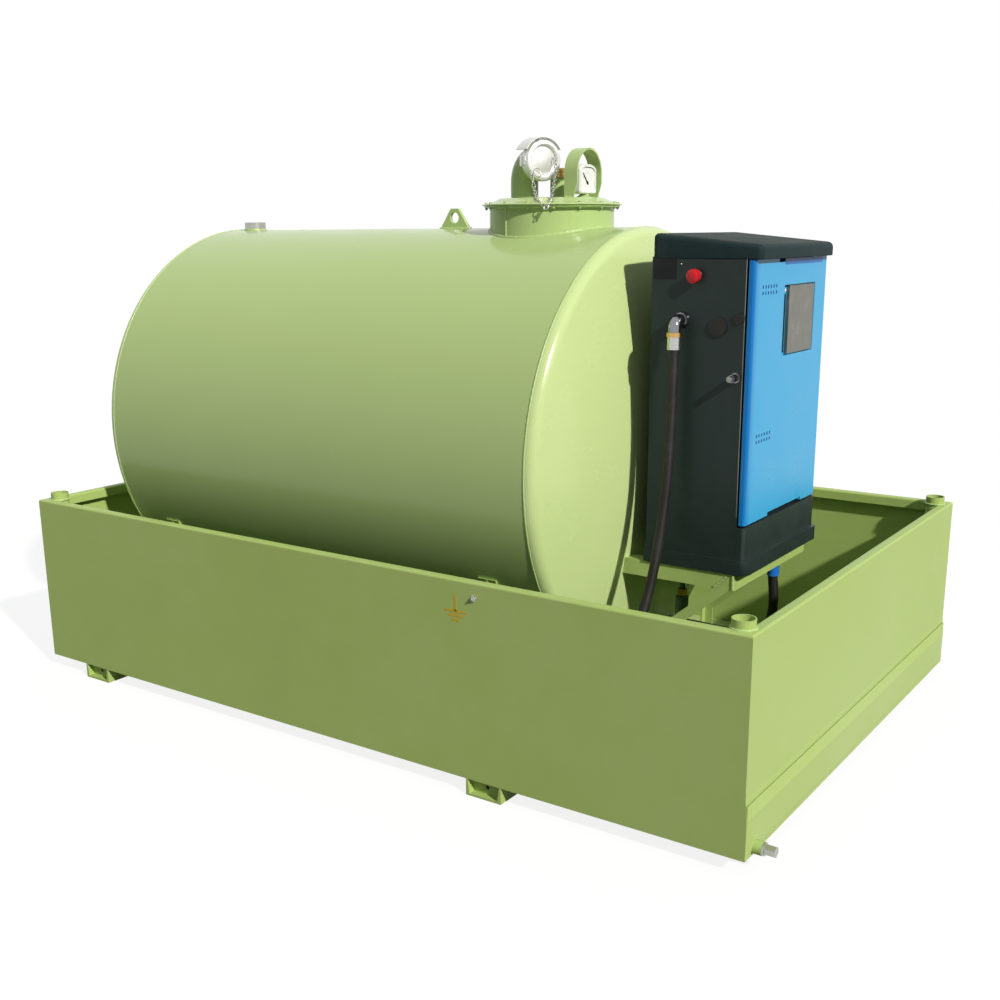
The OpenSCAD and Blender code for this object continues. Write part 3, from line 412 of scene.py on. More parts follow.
def build_dust(n, given):
    """Dust that settles on what faces up, and faint runs down upright faces."""
    normal = n.out("ShaderNodeNewGeometry", key="Normal")
    upward = n.out("ShaderNodeSeparateXYZ", {0: normal}, "Z")
    flat = n.spread(upward, 0.55, 1.0)
    cloud = n.spread(n.noise(n.coords(), given["Scale"], 6.0, 0.65), 0.38, 0.75)
    runs = n.spread(n.noise(n.coords(scale=(1, 1, 0.06)), given["Streaks"], 4.0, 0.6), 0.56, 0.8)
    side = n.math("MULTIPLY", n.math("SUBTRACT", 1.0, flat), runs)
    mask = n.math("ADD", n.math("MULTIPLY", flat, cloud), n.math("MULTIPLY", side, 0.35))
    mask = n.math("MULTIPLY", mask, given["Amount"], clamp=True)
    return {"Colour": n.blend(mask, given["Colour"], given["Dust"]), "Mask": mask}


def build_brushed(n, given):
    """Fine parallel scratches along one axis, with hand marks across them."""
    drawn_out = n.out("ShaderNodeVectorMath", {0: n.coords(), 1: given["Stretch"]}, operation="MULTIPLY")
    lines = n.noise(drawn_out, 1.0, 4.0, 0.7)
    marks = n.noise(n.coords(), 22.0, 4.0, 0.6)
    tone = n.math("ADD", n.spread(lines, 0.3, 0.7, -0.5, 0.5), n.spread(marks, 0.35, 0.7, -0.35, 0.35))
    shade = tinted(n, given, tone)
    rough = n.math("ADD", given["Roughness"], n.spread(marks, 0.3, 0.7, -0.06, 0.1))
    return {"Colour": shade, "Roughness": rough, "Height": lines}


def build_pitted(n, given):
    """Grain of a cast, moulded or powder-coated skin."""
    place = n.coords()
    fine = n.noise(place, given["Scale"], 2.0, 0.5)
    slow = n.noise(place, 14.0, 4.0, 0.6)
    tone = n.math("ADD", n.spread(fine, 0.35, 0.65, -0.5, 0.5), n.spread(slow, 0.3, 0.7, -0.5, 0.5))
    shade = tinted(n, given, tone)
    rough = n.math("ADD", given["Roughness"], n.spread(slow, 0.3, 0.7, -0.06, 0.08))
    return {"Colour": shade, "Roughness": rough, "Height": fine}


def build_painted_edge_shade(n, given):
    """Painted shade: the edge colour at the fold along the sheet's edge, fading into the face colour away
    from it.
    """
    across = n.out("ShaderNodeSeparateXYZ", {0: n.coords()}, "Y")
    near = n.spread(across, given["Edge"], given["Inside"], 1.0, 0.0)
    near = n.math("POWER", near, 1.6, clamp=True)
    return {"Colour": n.blend(near, given["Colour"], given["Edge Shade Colour"])}


grey = (0.5, 0.5, 0.5, 1)
COLOUR = [("Colour", "c")]
SURFACE = COLOUR + [("Roughness", "f"), ("Height", "f")]
# painted shade: a colour that deepens towards a sheet's edge fold, where the light falls off
door_edge_shade_group = shader_group("painted edge shade", [
    ("Colour", "c", grey), ("Edge Shade Colour", "c", grey), ("Edge", "f", -0.246), ("Inside", "f", -0.212),
], COLOUR, build_painted_edge_shade)
paint_group = shader_group("sprayed paint", [
    ("Colour", "c", grey), ("Variation", "f", 0.05), ("Roughness", "f", 0.3), ("Peel Scale", "f", 420),
], SURFACE, build_paint)
dust_group = shader_group("settled dust", [
    ("Colour", "c", grey), ("Dust", "c", grey), ("Amount", "f", 0.3), ("Scale", "f", 6), ("Streaks", "f", 9),
], COLOUR + [("Mask", "f")], build_dust)
brushed = shader_group("brushed metal", [
    ("Colour", "c", grey), ("Variation", "f", 0.1), ("Roughness", "f", 0.3), ("Stretch", "v", (600, 600, 8)),
], SURFACE, build_brushed)
pitted = shader_group("grained skin", [
    ("Colour", "c", grey), ("Variation", "f", 0.05), ("Roughness", "f", 0.5), ("Scale", "f", 600),
], SURFACE, build_pitted)


# ---- materials

def principled(material):
    return material.node_tree.nodes["Principled BSDF"].inputs


def skin(name, group, colour, variation, roughness, grain, bump, bump_depth, metallic=0.0, dust=0.0,
         dust_colour=(0.42, 0.39, 0.33, 1), dust_scale=6.0, coat=0.0, specular=0.5):
    """A material that takes colour, roughness and grain from one of the groups above.

    grain is the group's last input: the scale of paint and pitted skin, the stretch of brushed metal.
    """
    material = bpy.data.materials.new(name)
    material.use_nodes = True
    n = Nodes(material.node_tree)
    shader = principled(material)
    for key, value in {"Metallic": metallic, "Coat Weight": coat, "Coat Roughness": 0.12,
                       "Specular IOR Level": specular}.items():
        shader[key].default_value = value
    surface = n.add("ShaderNodeGroup", {0: (*colour, 1), 1: variation, 2: roughness, 3: grain},
                    node_tree=group).outputs
    colour, rough = surface["Colour"], surface["Roughness"]
    if dust:
        settled = n.add("ShaderNodeGroup", {
            "Colour": colour, "Dust": dust_colour, "Amount": dust, "Scale": dust_scale,
        }, node_tree=dust_group).outputs
        colour = settled["Colour"]
        rough = n.math("ADD", rough, n.math("MULTIPLY", settled["Mask"], 0.4), clamp=True)
    n.put(shader["Base Color"], colour)
    n.put(shader["Roughness"], rough)
    if bump:
        n.put(shader["Normal"], n.out("ShaderNodeBump", {
            "Strength": bump, "Distance": bump_depth, "Height": surface["Height"]}))
    return material


def paint(name, colour, roughness, variation, dust, peel=420.0, bump=0.12, **more):
    return skin(name, paint_group, colour, variation, roughness, peel, bump, 0.0006, dust=dust, **more)


RESEDA = (0.4, 0.52, 0.16)
tank_paint = paint("reseda paint, tank", (0.43, 0.56, 0.225), 0.2, 0.012, 0.02,
                   bump=0.04, coat=0.02, specular=0.18)
# painted light: the heads take a lighter copy of the tank's paint for the sun that falls on them
sunlit_head_paint = paint("reseda paint, heads, painted sunlit", (0.54, 0.665, 0.29), 0.24, 0.008, 0.0,
                   bump=0.03, coat=0.05, specular=0.38)
basin_paint = paint("reseda paint, basin", RESEDA, 0.38, 0.03, 0.04, bump=0.06, specular=0.06)
floor_paint = paint("reseda paint, basin floor", RESEDA, 0.34, 0.06, 0.35, bump=0.06, dust_scale=3.0)
frame_paint = paint("reseda paint, frame", RESEDA, 0.34, 0.05, 0.1, bump=0.06, specular=0.3)
weld_paint = paint("reseda paint over weld", (0.43, 0.555, 0.22), 0.32, 0.06, 0.03, 900.0, 0.4)
door_paint = paint("blue paint", (0.038, 0.385, 0.71), 0.32, 0.02, 0.02, bump=0.05, specular=0.3)
# painted shade for the grip notch along the door's top
notch_shade_blue = paint("deep blue painted shade", (0.006, 0.12, 0.42), 0.35, 0.02, 0.02, bump=0.05, specular=0.3)
vent_shade_blue = paint("blue painted shade", (0.003, 0.045, 0.21), 0.45, 0.02, 0.0, bump=0.0, specular=0.1)
filter_paint = paint("dark green paint", (0.03, 0.085, 0.04), 0.35, 0.06, 0.1)
anthracite = skin("anthracite powder coat", pitted, (0.016, 0.027, 0.026), 0.01, 0.38, 900.0, 0.1, 0.0003,
                     dust=0.04, dust_colour=(0.2, 0.2, 0.16, 1), specular=0.22)
hood_coat = skin("anthracite powder coat, hood", pitted, (0.018, 0.034, 0.036), 0.015, 0.55, 700.0,
                 0.2, 0.0004, dust=0.3, dust_colour=(0.085, 0.07, 0.03, 1), dust_scale=16.0, specular=0.05)
zinc = skin("zinc plate", pitted, (0.44, 0.44, 0.41), 0.14, 0.32, 300.0, 0.15, 0.0005, metallic=0.9)
aluminium = skin("cast aluminium", pitted, (0.8, 0.8, 0.78), 0.06, 0.42, 500.0, 0.3, 0.0006, metallic=0.55)
white_plastic = skin("white plastic", pitted, (0.8, 0.81, 0.78), 0.03, 0.38, 500.0, 0.08, 0.0004, dust=0.1)
dial_white = skin("dial card", pitted, (0.84, 0.85, 0.84), 0.02, 0.55, 900.0, 0.03, 0.0002)
dial_grey = skin("dial ink", pitted, (0.16, 0.17, 0.18), 0.04, 0.5, 900.0, 0.03, 0.0002)
red_plastic = skin("red plastic", pitted, (0.66, 0.008, 0.018), 0.02, 0.26, 400.0, 0.03, 0.0002,
                      coat=0.05, specular=0.3)
black_plastic = skin("black plastic", pitted, (0.016, 0.017, 0.016), 0.02, 0.42, 700.0, 0.1, 0.0003,
                     specular=0.22)
collar_plastic = skin("blue plastic", pitted, (0.012, 0.15, 0.56), 0.03, 0.32, 500.0, 0.08, 0.0003)
# the black nameplate's own colour, also used as painted shade in the display's gap
black_plate_and_gap_shade = skin("black anodised plate and painted gap shade", pitted, (0.008, 0.011, 0.011), 0.02, 0.4, 900.0, 0.03, 0.0002,
                      specular=0.15)
yellow_paint = skin("yellow paint", pitted, (0.52, 0.36, 0.008), 0.1, 0.55, 240.0, 0.2, 0.0003)
steel = skin("bright steel", brushed, (0.55, 0.55, 0.53), 0.12, 0.24, (900, 900, 12), 0.08, 0.0004,
             metallic=1.0)
chrome = skin("chrome", brushed, (0.26, 0.27, 0.28), 0.02, 0.1, (200, 200, 200), 0.02, 0.0002,
              metallic=1.0)
dark_chrome = skin("dark chrome", brushed, (0.22, 0.22, 0.21), 0.05, 0.18, (200, 200, 200), 0.02, 0.0002,
                   metallic=1.0)
brass = skin("brass", brushed, (0.6, 0.38, 0.13), 0.1, 0.26, (40, 40, 700), 0.1, 0.0004, metallic=1.0)
display_metal = skin("brushed aluminium", brushed, (0.2, 0.2, 0.175), 0.22, 0.42, (500, 900, 10),
                     0.12, 0.0004, 0.8)


def hose_material():
    """Black rubber with the fine slanting mark of its wrapping cloth."""
    material = skin("hose rubber", pitted, (0.013, 0.012, 0.011), 0.03, 0.42, 500.0, 0.0, 0.001,
                       dust=0.02, specular=0.25)
    n = Nodes(material.node_tree)
    along = n.out("ShaderNodeUVMap", uv_map="along")
    slant = n.out("ShaderNodeMapping", {"Vector": along, "Scale": (4, 380, 1)})
    split = n.add("ShaderNodeSeparateXYZ", {0: slant}).outputs
    ridge = n.math("SINE", n.math("MULTIPLY", n.math("ADD", split["X"], split["Y"]), 6.2832))
    relief = n.out("ShaderNodeBump", {"Strength": 0.25, "Distance": 0.0006, "Height": ridge})
    n.put(principled(material)["Normal"], relief)
    return material


hose_rubber = hose_material()


def paint_door_edge_shade():
    """Paints shade on the fold along the door's edge: deeper blue there than on its face."""
    n = Nodes(door_paint.node_tree)
    base = principled(door_paint)["Base Color"]
    # painted shade: deeper blue towards the door's near edge
    n.put(base, n.out("ShaderNodeGroup", {
        "Colour": base.links[0].from_socket, "Edge Shade Colour": (0.004, 0.19, 0.56, 1),
    }, node_tree=door_edge_shade_group))


paint_door_edge_shade()

for names, material in {
    "head_left head_right": sunlit_head_paint,
    "tank_shell manhole_neck manhole_lid fill_pipe dip_pipe lifting_eye "
    "gauge_stem gauge_strap": tank_paint,
    "front_wall rear_wall left_wall right_wall post_sockets runners drain_coupling": basin_paint,
    "bund_floor": floor_paint,
    "saddle_left saddle_right cabinet_frame": frame_paint,
    "drain_plug vent_coupling suction_outlet": zinc,
    "fill_coupling fill_cap fill_guard": aluminium,
    "dip_plug hose_swivel": brass,
    "hose_outlet": chrome,
    "key_lock": dark_chrome,
    "hose_ferrule nozzle": steel,
    "gauge_box": white_plastic,
    "cabinet_body cabinet_base": anthracite,
    "cabinet_hood": hood_coat,
    "cabinet_door": door_paint,
    "display_panel": display_metal,
    "stop_button": red_plastic,
    "blanking_discs": black_plastic,
    "suction_filter": filter_paint,
    "suction_collar": collar_plastic,
    "suction_hose delivery_hose delivery_coil": hose_rubber,
}.items():
    for name in names.split():
        nodes[name].data.materials[0] = material


def ease_edges(node, width, segments):
    """Small rounded edges on a CAD node, whose triangles are joined first."""
    weld = nodes[node].modifiers.new("weld", "WELD")
    weld.merge_threshold = 1e-5
    round_edges(nodes[node], width, segments, 30)


# ---- delivery hose, a cord

HOSE_D = 0.027
hose_exit = Vector((0.7655, -0.294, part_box("hose_ferrule")[0].z - SEAT))
coil_start = Vector((0.7235, -0.5695, 0.0625))
LANDING_R = 0.15  # bend from the drop onto the floor
LANDING_END = 0.004  # straight piece after that bend
COIL_IN = 0.14  # radius of the first half turn
COIL_LEAD = 0.01  # by which the very first one is tighter
TURN_STEP = 0.014  # growth per half turn
HALF_TURNS = 5
ARC_STEPS = 24
# from the ferrule down: share of the drop's height that is left, and share of the way out that is done
hose_way = [
    (0.97, 0), (0.9, 0.01), (0.83, 0.02), (0.75, 0.04), (0.66, 0.075), (0.58, 0.13),
    (0.51, 0.2), (0.44, 0.29), (0.38, 0.38), (0.33, 0.47), (0.28, 0.59), (0.22, 0.74),
    (0.16, 0.87), (0.1, 0.96), (0.04, 1),
]


def hose_points():
    """Down from the ferrule, round onto the basin floor, and out in wider and wider half turns."""
    landing = coil_start + Vector((0, LANDING_R + LANDING_END, LANDING_R))
    drop = [hose_exit]
    for height, share in hose_way:
        drop.append(Vector((
            hose_exit.x + share * (landing.x - hose_exit.x),
            hose_exit.y + share * (landing.y - hose_exit.y),
            landing.z + height * (hose_exit.z - landing.z))))
    for turn in range(0, 91, 10):
        a = math.radians(turn)
        out, up = LANDING_END + LANDING_R * math.cos(a), LANDING_R * (1 - math.sin(a))
        drop.append(coil_start + Vector((0, out, up)))
    path = smooth_path(drop + [coil_start], 4)
    x = coil_start.x
    for half in range(HALF_TURNS):
        r = COIL_IN + half * TURN_STEP - (0 if half else COIL_LEAD)
        way = 1 if half % 2 == 0 else -1
        centre = x + way * r
        for k in range(1, ARC_STEPS + 1):
            a = math.pi * k / ARC_STEPS
            path.append(Vector((centre - way * r * math.cos(a), coil_start.y - way * r * math.sin(a),
                                coil_start.z)))
        x = centre + way * r
    for k in range(1, 6):
        path.append(Vector((x, coil_start.y + 0.02 * k, coil_start.z)))
    return path


hose_path = hose_points()
delivery = add_object("delivery_hose_rubber", sweep_mesh("delivery_hose_rubber", hose_path, HOSE_D / 2, 20))
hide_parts("delivery_hose", "delivery_coil")
dress(delivery, hose_rubber, "tank")


def make_nozzle():
    """Hand guard and lever on the nozzle at the end of the hose."""
    out = (hose_path[-1] - hose_path[-2]).normalized()
    place = facing(hose_path[-1] + Vector((0, 0, 0.0065)), out, -UP)

    def bar(name, points, radius, material):
        path = smooth_path([place @ Vector((x, 0, z)) for x, z in points], 5)
        return tube_piece(name, path, radius, 10, material)

    guard = bar("nozzle_guard", [(0.018, 0.03), (0.038, 0.034), (0.046, 0.055), (0.046, 0.085),
                                 (0.036, 0.106), (0.016, 0.11)], 0.004, black_plastic)
    lever = bar("nozzle_lever", [(0.02, 0.092), (0.03, 0.08), (0.032, 0.06), (0.03, 0.045)],
                0.0035, steel)
    return [nodes["nozzle"], guard, lever]


nozzle_pieces = make_nozzle()


# ---- suction hose, between two fittings

def bezier(a, b, c, d, t):
    return (1 - t) ** 3 * a + 3 * (1 - t) ** 2 * t * b + 3 * (1 - t) * t * t * c + t ** 3 * d


def make_suction_hose():
    """Short hose from the collar under the cabinet to the intake low on the tank's head."""
    collar, intake = middle("suction_collar"), middle("suction_outlet")
    start = Vector((collar.x, collar.y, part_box("suction_collar")[0].z - SEAT))
    end = Vector((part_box("suction_outlet")[1].x + SEAT, intake.y, intake.z))
    stub, steps = 0.01, 36
    leave, arrive = Vector((0.03, 0, -0.23)), Vector((0.21, 0, 0))
    path = [start] + [
        bezier(start - Vector((0, 0, stub)), start + leave, end + arrive, end + Vector((stub, 0, 0)),
               i / steps) for i in range(steps + 1)
    ] + [end]
    hose = add_object("suction_hose_rubber", sweep_mesh("suction_hose_rubber", path, 0.014, 20))
    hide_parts("suction_hose")
    dress(hose, hose_rubber, "tank")


make_suction_hose()


# ---- geometry node trees

def geometry_group(name, inputs, build):
    """A tree with named inputs that ends in Realize Instances and Set Material."""
    ends = [("Geometry", "g", None), *inputs, ("Material", "m", None)]
    tree, n, given, sink = open_group(name, "GeometryNodeTree", ends, [("Geometry", "g")])
    real = n.out("GeometryNodeRealizeInstances", {"Geometry": build(n, given)})
    done = n.out("GeometryNodeSetMaterial", {"Geometry": real, "Material": given["Material"]})
    tree.links.new(done, sink["Geometry"])
    return tree


def grow(name, tree, values, material, points=(), closed=False):
    """Runs a tree on points joined by edges, and keeps the result as a plain mesh of one piece."""
    count = len(points)
    edges = [(i, (i + 1) % count) for i in range(count if closed else count - 1)]
    base = bpy.data.meshes.new(name)
    base.from_pydata([tuple(p) for p in points], edges, [])
    piece = add_object(name, base)
    modifier = piece.modifiers.new("grow", "NODES")
    modifier.node_group = tree
    names = {item.name: item.identifier for item in tree.interface.items_tree if item.in_out == "INPUT"}
    for label, value in values.items():
        modifier[names[label]] = value
    modifier[names["Material"]] = material
    seen = piece.evaluated_get(bpy.context.evaluated_depsgraph_get())
    grown = bpy.data.meshes.new_from_object(seen)
    piece.modifiers.remove(modifier)
    piece.data = grown
    grown.name = name
    dress(piece, material, "tank")


def resampled(n, given, length):
    """The piece's path as a curve with points at even steps."""
    curve = n.out("GeometryNodeMeshToCurve", {"Mesh": given["Geometry"]})
    return n.out("GeometryNodeResampleCurve", {"Curve": curve, "Length": length}, mode="LENGTH")


def build_bead(n, given):
    """A weld bead: a round section with ripples along a path."""
    curve = resampled(n, given, given["Ripple"])
    index = n.out("GeometryNodeInputIndex")
    wave = n.math("SINE", n.math("MULTIPLY", index, 1.9))
    radius = n.math("MULTIPLY", given["Radius"], n.math("ADD", 1.0, n.math("MULTIPLY", wave, 0.1)))
    curve = n.out("GeometryNodeSetCurveRadius", {"Curve": curve, "Radius": radius})
    section = n.out("GeometryNodeCurvePrimitiveCircle", {"Resolution": 8, "Radius": 1.0})
    made = n.add("GeometryNodeCurveToMesh", {"Curve": curve, "Profile Curve": section})
    if "Scale" in made.inputs:
        n.put(made.inputs["Scale"], radius)
    return n.out("GeometryNodeSetShadeSmooth", {"Geometry": made.outputs[0]})


bead_tree = geometry_group("weld bead", [("Radius", "f", 0.003), ("Ripple", "f", 0.004)], build_bead)


def build_bolts(n, given):
    """Bolts on a circle: head and washer above, nut and thread end below."""

    def share(k):
        return n.math("MULTIPLY", given["Across"], k)

    def under(k):
        return n.math("SUBTRACT", n.math("MULTIPLY", given["Grip"], -1.0), share(k))

    def part(sides, radius, depth, middle_z):
        """A prism as wide and deep as these shares of the bolt's size, with its middle at a height."""
        made = n.out("GeometryNodeMeshCylinder", {
            "Vertices": sides, "Radius": share(radius), "Depth": share(depth)}, "Mesh")
        return n.out("GeometryNodeTransform", {"Geometry": made, "Translation": n.upright(middle_z)})

    bolt = n.add("GeometryNodeJoinGeometry")
    for made in (part(6, 1.0, 0.72, share(0.56)), part(20, 1.22, 0.2, share(0.1)),
                 part(6, 1.0, 0.9, under(0.45)), part(12, 0.52, 0.8, under(0.95))):
        n.tree.links.new(made, bolt.inputs[0])
    circle = n.out("GeometryNodeMeshCircle", {"Vertices": given["Count"], "Radius": given["Ring"]})
    index = n.out("GeometryNodeInputIndex")
    turn = n.add("FunctionNodeRandomValue", {"Seed": 4, "ID": index}, data_type="FLOAT").outputs
    turn = turn["Value"] if turn["Value"].enabled else turn[1]
    put = n.out("GeometryNodeInstanceOnPoints", {
        "Points": circle, "Instance": bolt.outputs[0], "Rotation": n.upright(n.math("MULTIPLY", turn, 3.14))})
    return n.out("GeometryNodeTransform", {
        "Geometry": put, "Translation": given["Centre"], "Rotation": given["Turn"]})


bolt_tree = geometry_group("ring of bolts", [
    ("Count", "i", 16), ("Ring", "f", 0.195), ("Across", "f", 0.009), ("Grip", "f", 0.01),
    ("Centre", "v", (0, 0, 0)), ("Turn", "v", (0, 0, 0))], build_bolts)


def build_chain(n, given):
    """Links along a path, each turned a quarter from the one before."""
    quarter = 1.5708
    curve = resampled(n, given, given["Pitch"])
    tangent = n.out("GeometryNodeInputTangent")
    aim = n.out("FunctionNodeAlignRotationToVector", {"Vector": tangent}, axis="Z")
    odd = n.math("MODULO", n.out("GeometryNodeInputIndex"), 2.0)
    roll = n.upright(n.math("MULTIPLY", odd, quarter))
    turned = n.out("FunctionNodeRotateRotation", {
        "Rotation": aim, "Rotate By": roll}, rotation_space="LOCAL")
    ring = n.out("GeometryNodeCurvePrimitiveCircle", {"Resolution": 14, "Radius": given["Link"]})
    upright = n.out("GeometryNodeTransform", {
        "Geometry": ring, "Rotation": (quarter, 0, 0), "Scale": (0.62, 1, 1)})
    oval = n.out("GeometryNodeTransform", {"Geometry": upright, "Scale": (1, 1, 1.15)})
    wire = n.out("GeometryNodeCurvePrimitiveCircle", {"Resolution": 6, "Radius": given["Wire"]})
    link = n.out("GeometryNodeCurveToMesh", {"Curve": oval, "Profile Curve": wire})
    link = n.out("GeometryNodeSetShadeSmooth", {"Geometry": link})
    return n.out("GeometryNodeInstanceOnPoints", {
        "Points": curve, "Instance": link, "Rotation": turned})


chain_tree = geometry_group("chain", [
    ("Pitch", "f", 0.014), ("Link", "f", 0.009), ("Wire", "f", 0.0014)], build_chain)


def ring_points(centre, radius, count, normal="z"):
    points = []
    for k in range(count):
        a = 2 * math.pi * k / count
        c, s = radius * math.cos(a), radius * math.sin(a)
        points.append(Vector(centre) + (Vector((c, s, 0)) if normal == "z" else Vector((0, c, s))))
    return points


def bead(name, points, radius, closed=False, ripple=0.004):
    grow(name, bead_tree, {"Radius": radius, "Ripple": ripple}, weld_paint, points, closed)


# ---- welds

def make_tank_welds():
    """Beads of the heads, the neck, the post sockets and the fittings on top."""
    for name, x in (("seam_weld_left", shell_low.x), ("seam_weld_right", shell_high.x)):
        bead(name, ring_points((x, 0, tank_axis), tank_r - 0.0008, 180, "x"), 0.003, True, 0.006)
    foot = []
    for p in ring_points((lid_mid.x, 0, 0), NECK_R, 96):
        foot.append(Vector((p.x, p.y, tank_axis + math.sqrt(tank_r ** 2 - p.y ** 2))))
    bead("neck_weld", foot, 0.0055, True, 0.005)
    low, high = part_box("post_sockets")
    socket_r = 0.028
    for number, x in enumerate((low.x + socket_r, high.x - socket_r)):
        for end, y in enumerate((low.y + socket_r, high.y - socket_r)):
            bead(f"socket_weld_{number}_{end}", ring_points((x, y, rim_z + 0.0005), 0.029, 40), 0.0028, True)
    low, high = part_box("lifting_eye")
    bead("eye_weld", [(low.x, low.y, low.z), (high.x, low.y, low.z), (high.x, high.y, low.z),
                      (low.x, high.y, low.z)], 0.0035, True)
    vent = middle("vent_coupling")
    bead("vent_weld", ring_points((vent.x, vent.y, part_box("vent_coupling")[0].z), 0.0365, 40), 0.0035, True)


def make_lid_welds():
    """Beads of the pipes and the strap on the lid, and of the neck's flange and seam."""
    dip = middle("dip_pipe")
    bead("dip_weld", ring_points((dip.x, dip.y, lid_high.z), 0.0245, 36), 0.0028, True)
    bead("fill_weld", ring_points((lid_mid.x - FILL_IN, 0, lid_high.z), 0.0425, 48), 0.0032, True)
    bead("flange_weld", ring_points((lid_mid.x, 0, neck_high.z - LID_T), NECK_R, 96), 0.0035, True, 0.005)
    seam_in = 0.0423
    x, y = lid_mid.x - seam_in, -math.sqrt((NECK_R + 0.0004) ** 2 - seam_in ** 2)
    bead("neck_seam_weld", [(x, y, neck_low.z + 0.008), (x, y, neck_high.z - 0.01)], 0.0026)
    low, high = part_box("gauge_strap")
    for number, y in enumerate((low.y, high.y)):
        bead(f"strap_weld_{number}", [(low.x + 0.003, y, lid_high.z + 0.0005),
                                      (high.x - 0.014, y, lid_high.z + 0.0005)], 0.0028)


def make_low_welds():
    """Beads of the frame's near strut and of the saddles."""
    low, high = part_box("cabinet_frame")
    side = low.y - 0.0005
    for name, x0, z0, x1, z1 in (("strut_weld", 0.058, 0.042, 0.02, 0.007),
                                 ("bar_end_weld", 0.004, 0.042, 0.004, 0.003)):
        bead(name, [(high.x - x0, side, high.z - z0), (high.x - x1, side, high.z - z1)], 0.0035)
    reach, steps = math.radians(54), 60
    for name in ("saddle_left", "saddle_right"):
        low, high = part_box(name)
        for end, x in enumerate((low.x, high.x)):
            turns = [reach * (2 * k / steps - 1) for k in range(steps + 1)]
            arc = [(x, tank_r * math.sin(a), tank_axis - tank_r * math.cos(a)) for a in turns]
            bead(f"{name}_weld_{end}", arc, 0.004, False, 0.006)


make_tank_welds()
make_lid_welds()
make_low_welds()


# ---- lid bolts and earth point

def make_bolts():
    """Sixteen bolts round the lid, and one for the earth lead on the front wall."""
    count, lid_top, flange_low = 16, lid_low.z + LID_T, neck_high.z - LID_T
    grow("lid_bolts", bolt_tree, {
        "Count": count, "Ring": 0.1925, "Across": 0.0048, "Grip": lid_top - flange_low + 0.0002,
        "Centre": (lid_mid.x, lid_mid.y, lid_top), "Turn": (0, 0, math.pi / count),
    }, tank_paint)
    bm = bmesh.new()
    place = facing((bund_x + 0.51, front_y, 0.542))
    spin_profile(bm, [(0, 0), (0.0085, 0), (0.0085, 0.0014), (0, 0.0014)], place, 24)
    for low, high, radius, ease_in, ease_up, sides in (
            (0.0015, 0.0066, 0.0068, 0.001, 0.0008, 6), (0.0067, 0.0102, 0.003, 0.0005, 0.0006, 16)):
        spin_profile(bm, [(0, low), (radius, low), (radius, high - ease_up), (radius - ease_in, high),
                          (0, high)], place, sides)
    bm_piece("earth_bolt", bm, zinc)


make_bolts()


def make_earth_sign():
    """The plain sign for an earth point: a stem over three shorter and shorter bars."""
    x, top = bund_x + 0.451, 0.544
    half, skin_t = 0.0034, 0.0004
    bars = [(0.499, 0.034), (0.487, 0.023), (0.475, 0.0115)]
    near, far = front_y - skin_t, front_y + skin_t
    block_piece("earth_sign", [((x - half, near, bars[0][0]), (x + half, far, top))] + [
        ((x - reach, near, z - half), (x + reach, far, z + half)) for z, reach in bars], yellow_paint)


make_earth_sign()


def make_wall_fold():
    """The shallow fold that runs low along the right wall, over the basin's floor."""
    x, inside = wall_high.x, 0.0006
    rows = []
    for y, swell in ((-0.788, 0.1), (-0.77, 1.0), (0.74, 1.0), (0.788, 0.1)):
        section = [(-inside, 0.182), (0.0052 * swell, 0.15), (0.0022 * swell, 0.062), (-inside, 0.054)]
        rows.append([(x + out, y, z) for out, z in section])
    bm = bmesh.new()
    loft(bm, rows)
    bm_piece("wall_fold", bm, basin_paint, smooth_under=1)


make_wall_fold()


# ---- fill point

FILL_UP, FILL_TURN = 0.104, math.radians(-25)
fill_foot = Matrix.Translation((lid_mid.x - FILL_IN, 0, lid_high.z + FILL_UP))
fill_place = fill_foot @ Matrix.Rotation(FILL_TURN, 4, "Z")
pipe_end, coupling_l, cap_t = 0.058, 0.038, 0.004
cap_face = pipe_end + SEAT + coupling_l + cap_t + SEAT
along_fill = fill_place @ Matrix.Rotation(math.pi / 2, 4, "Y")


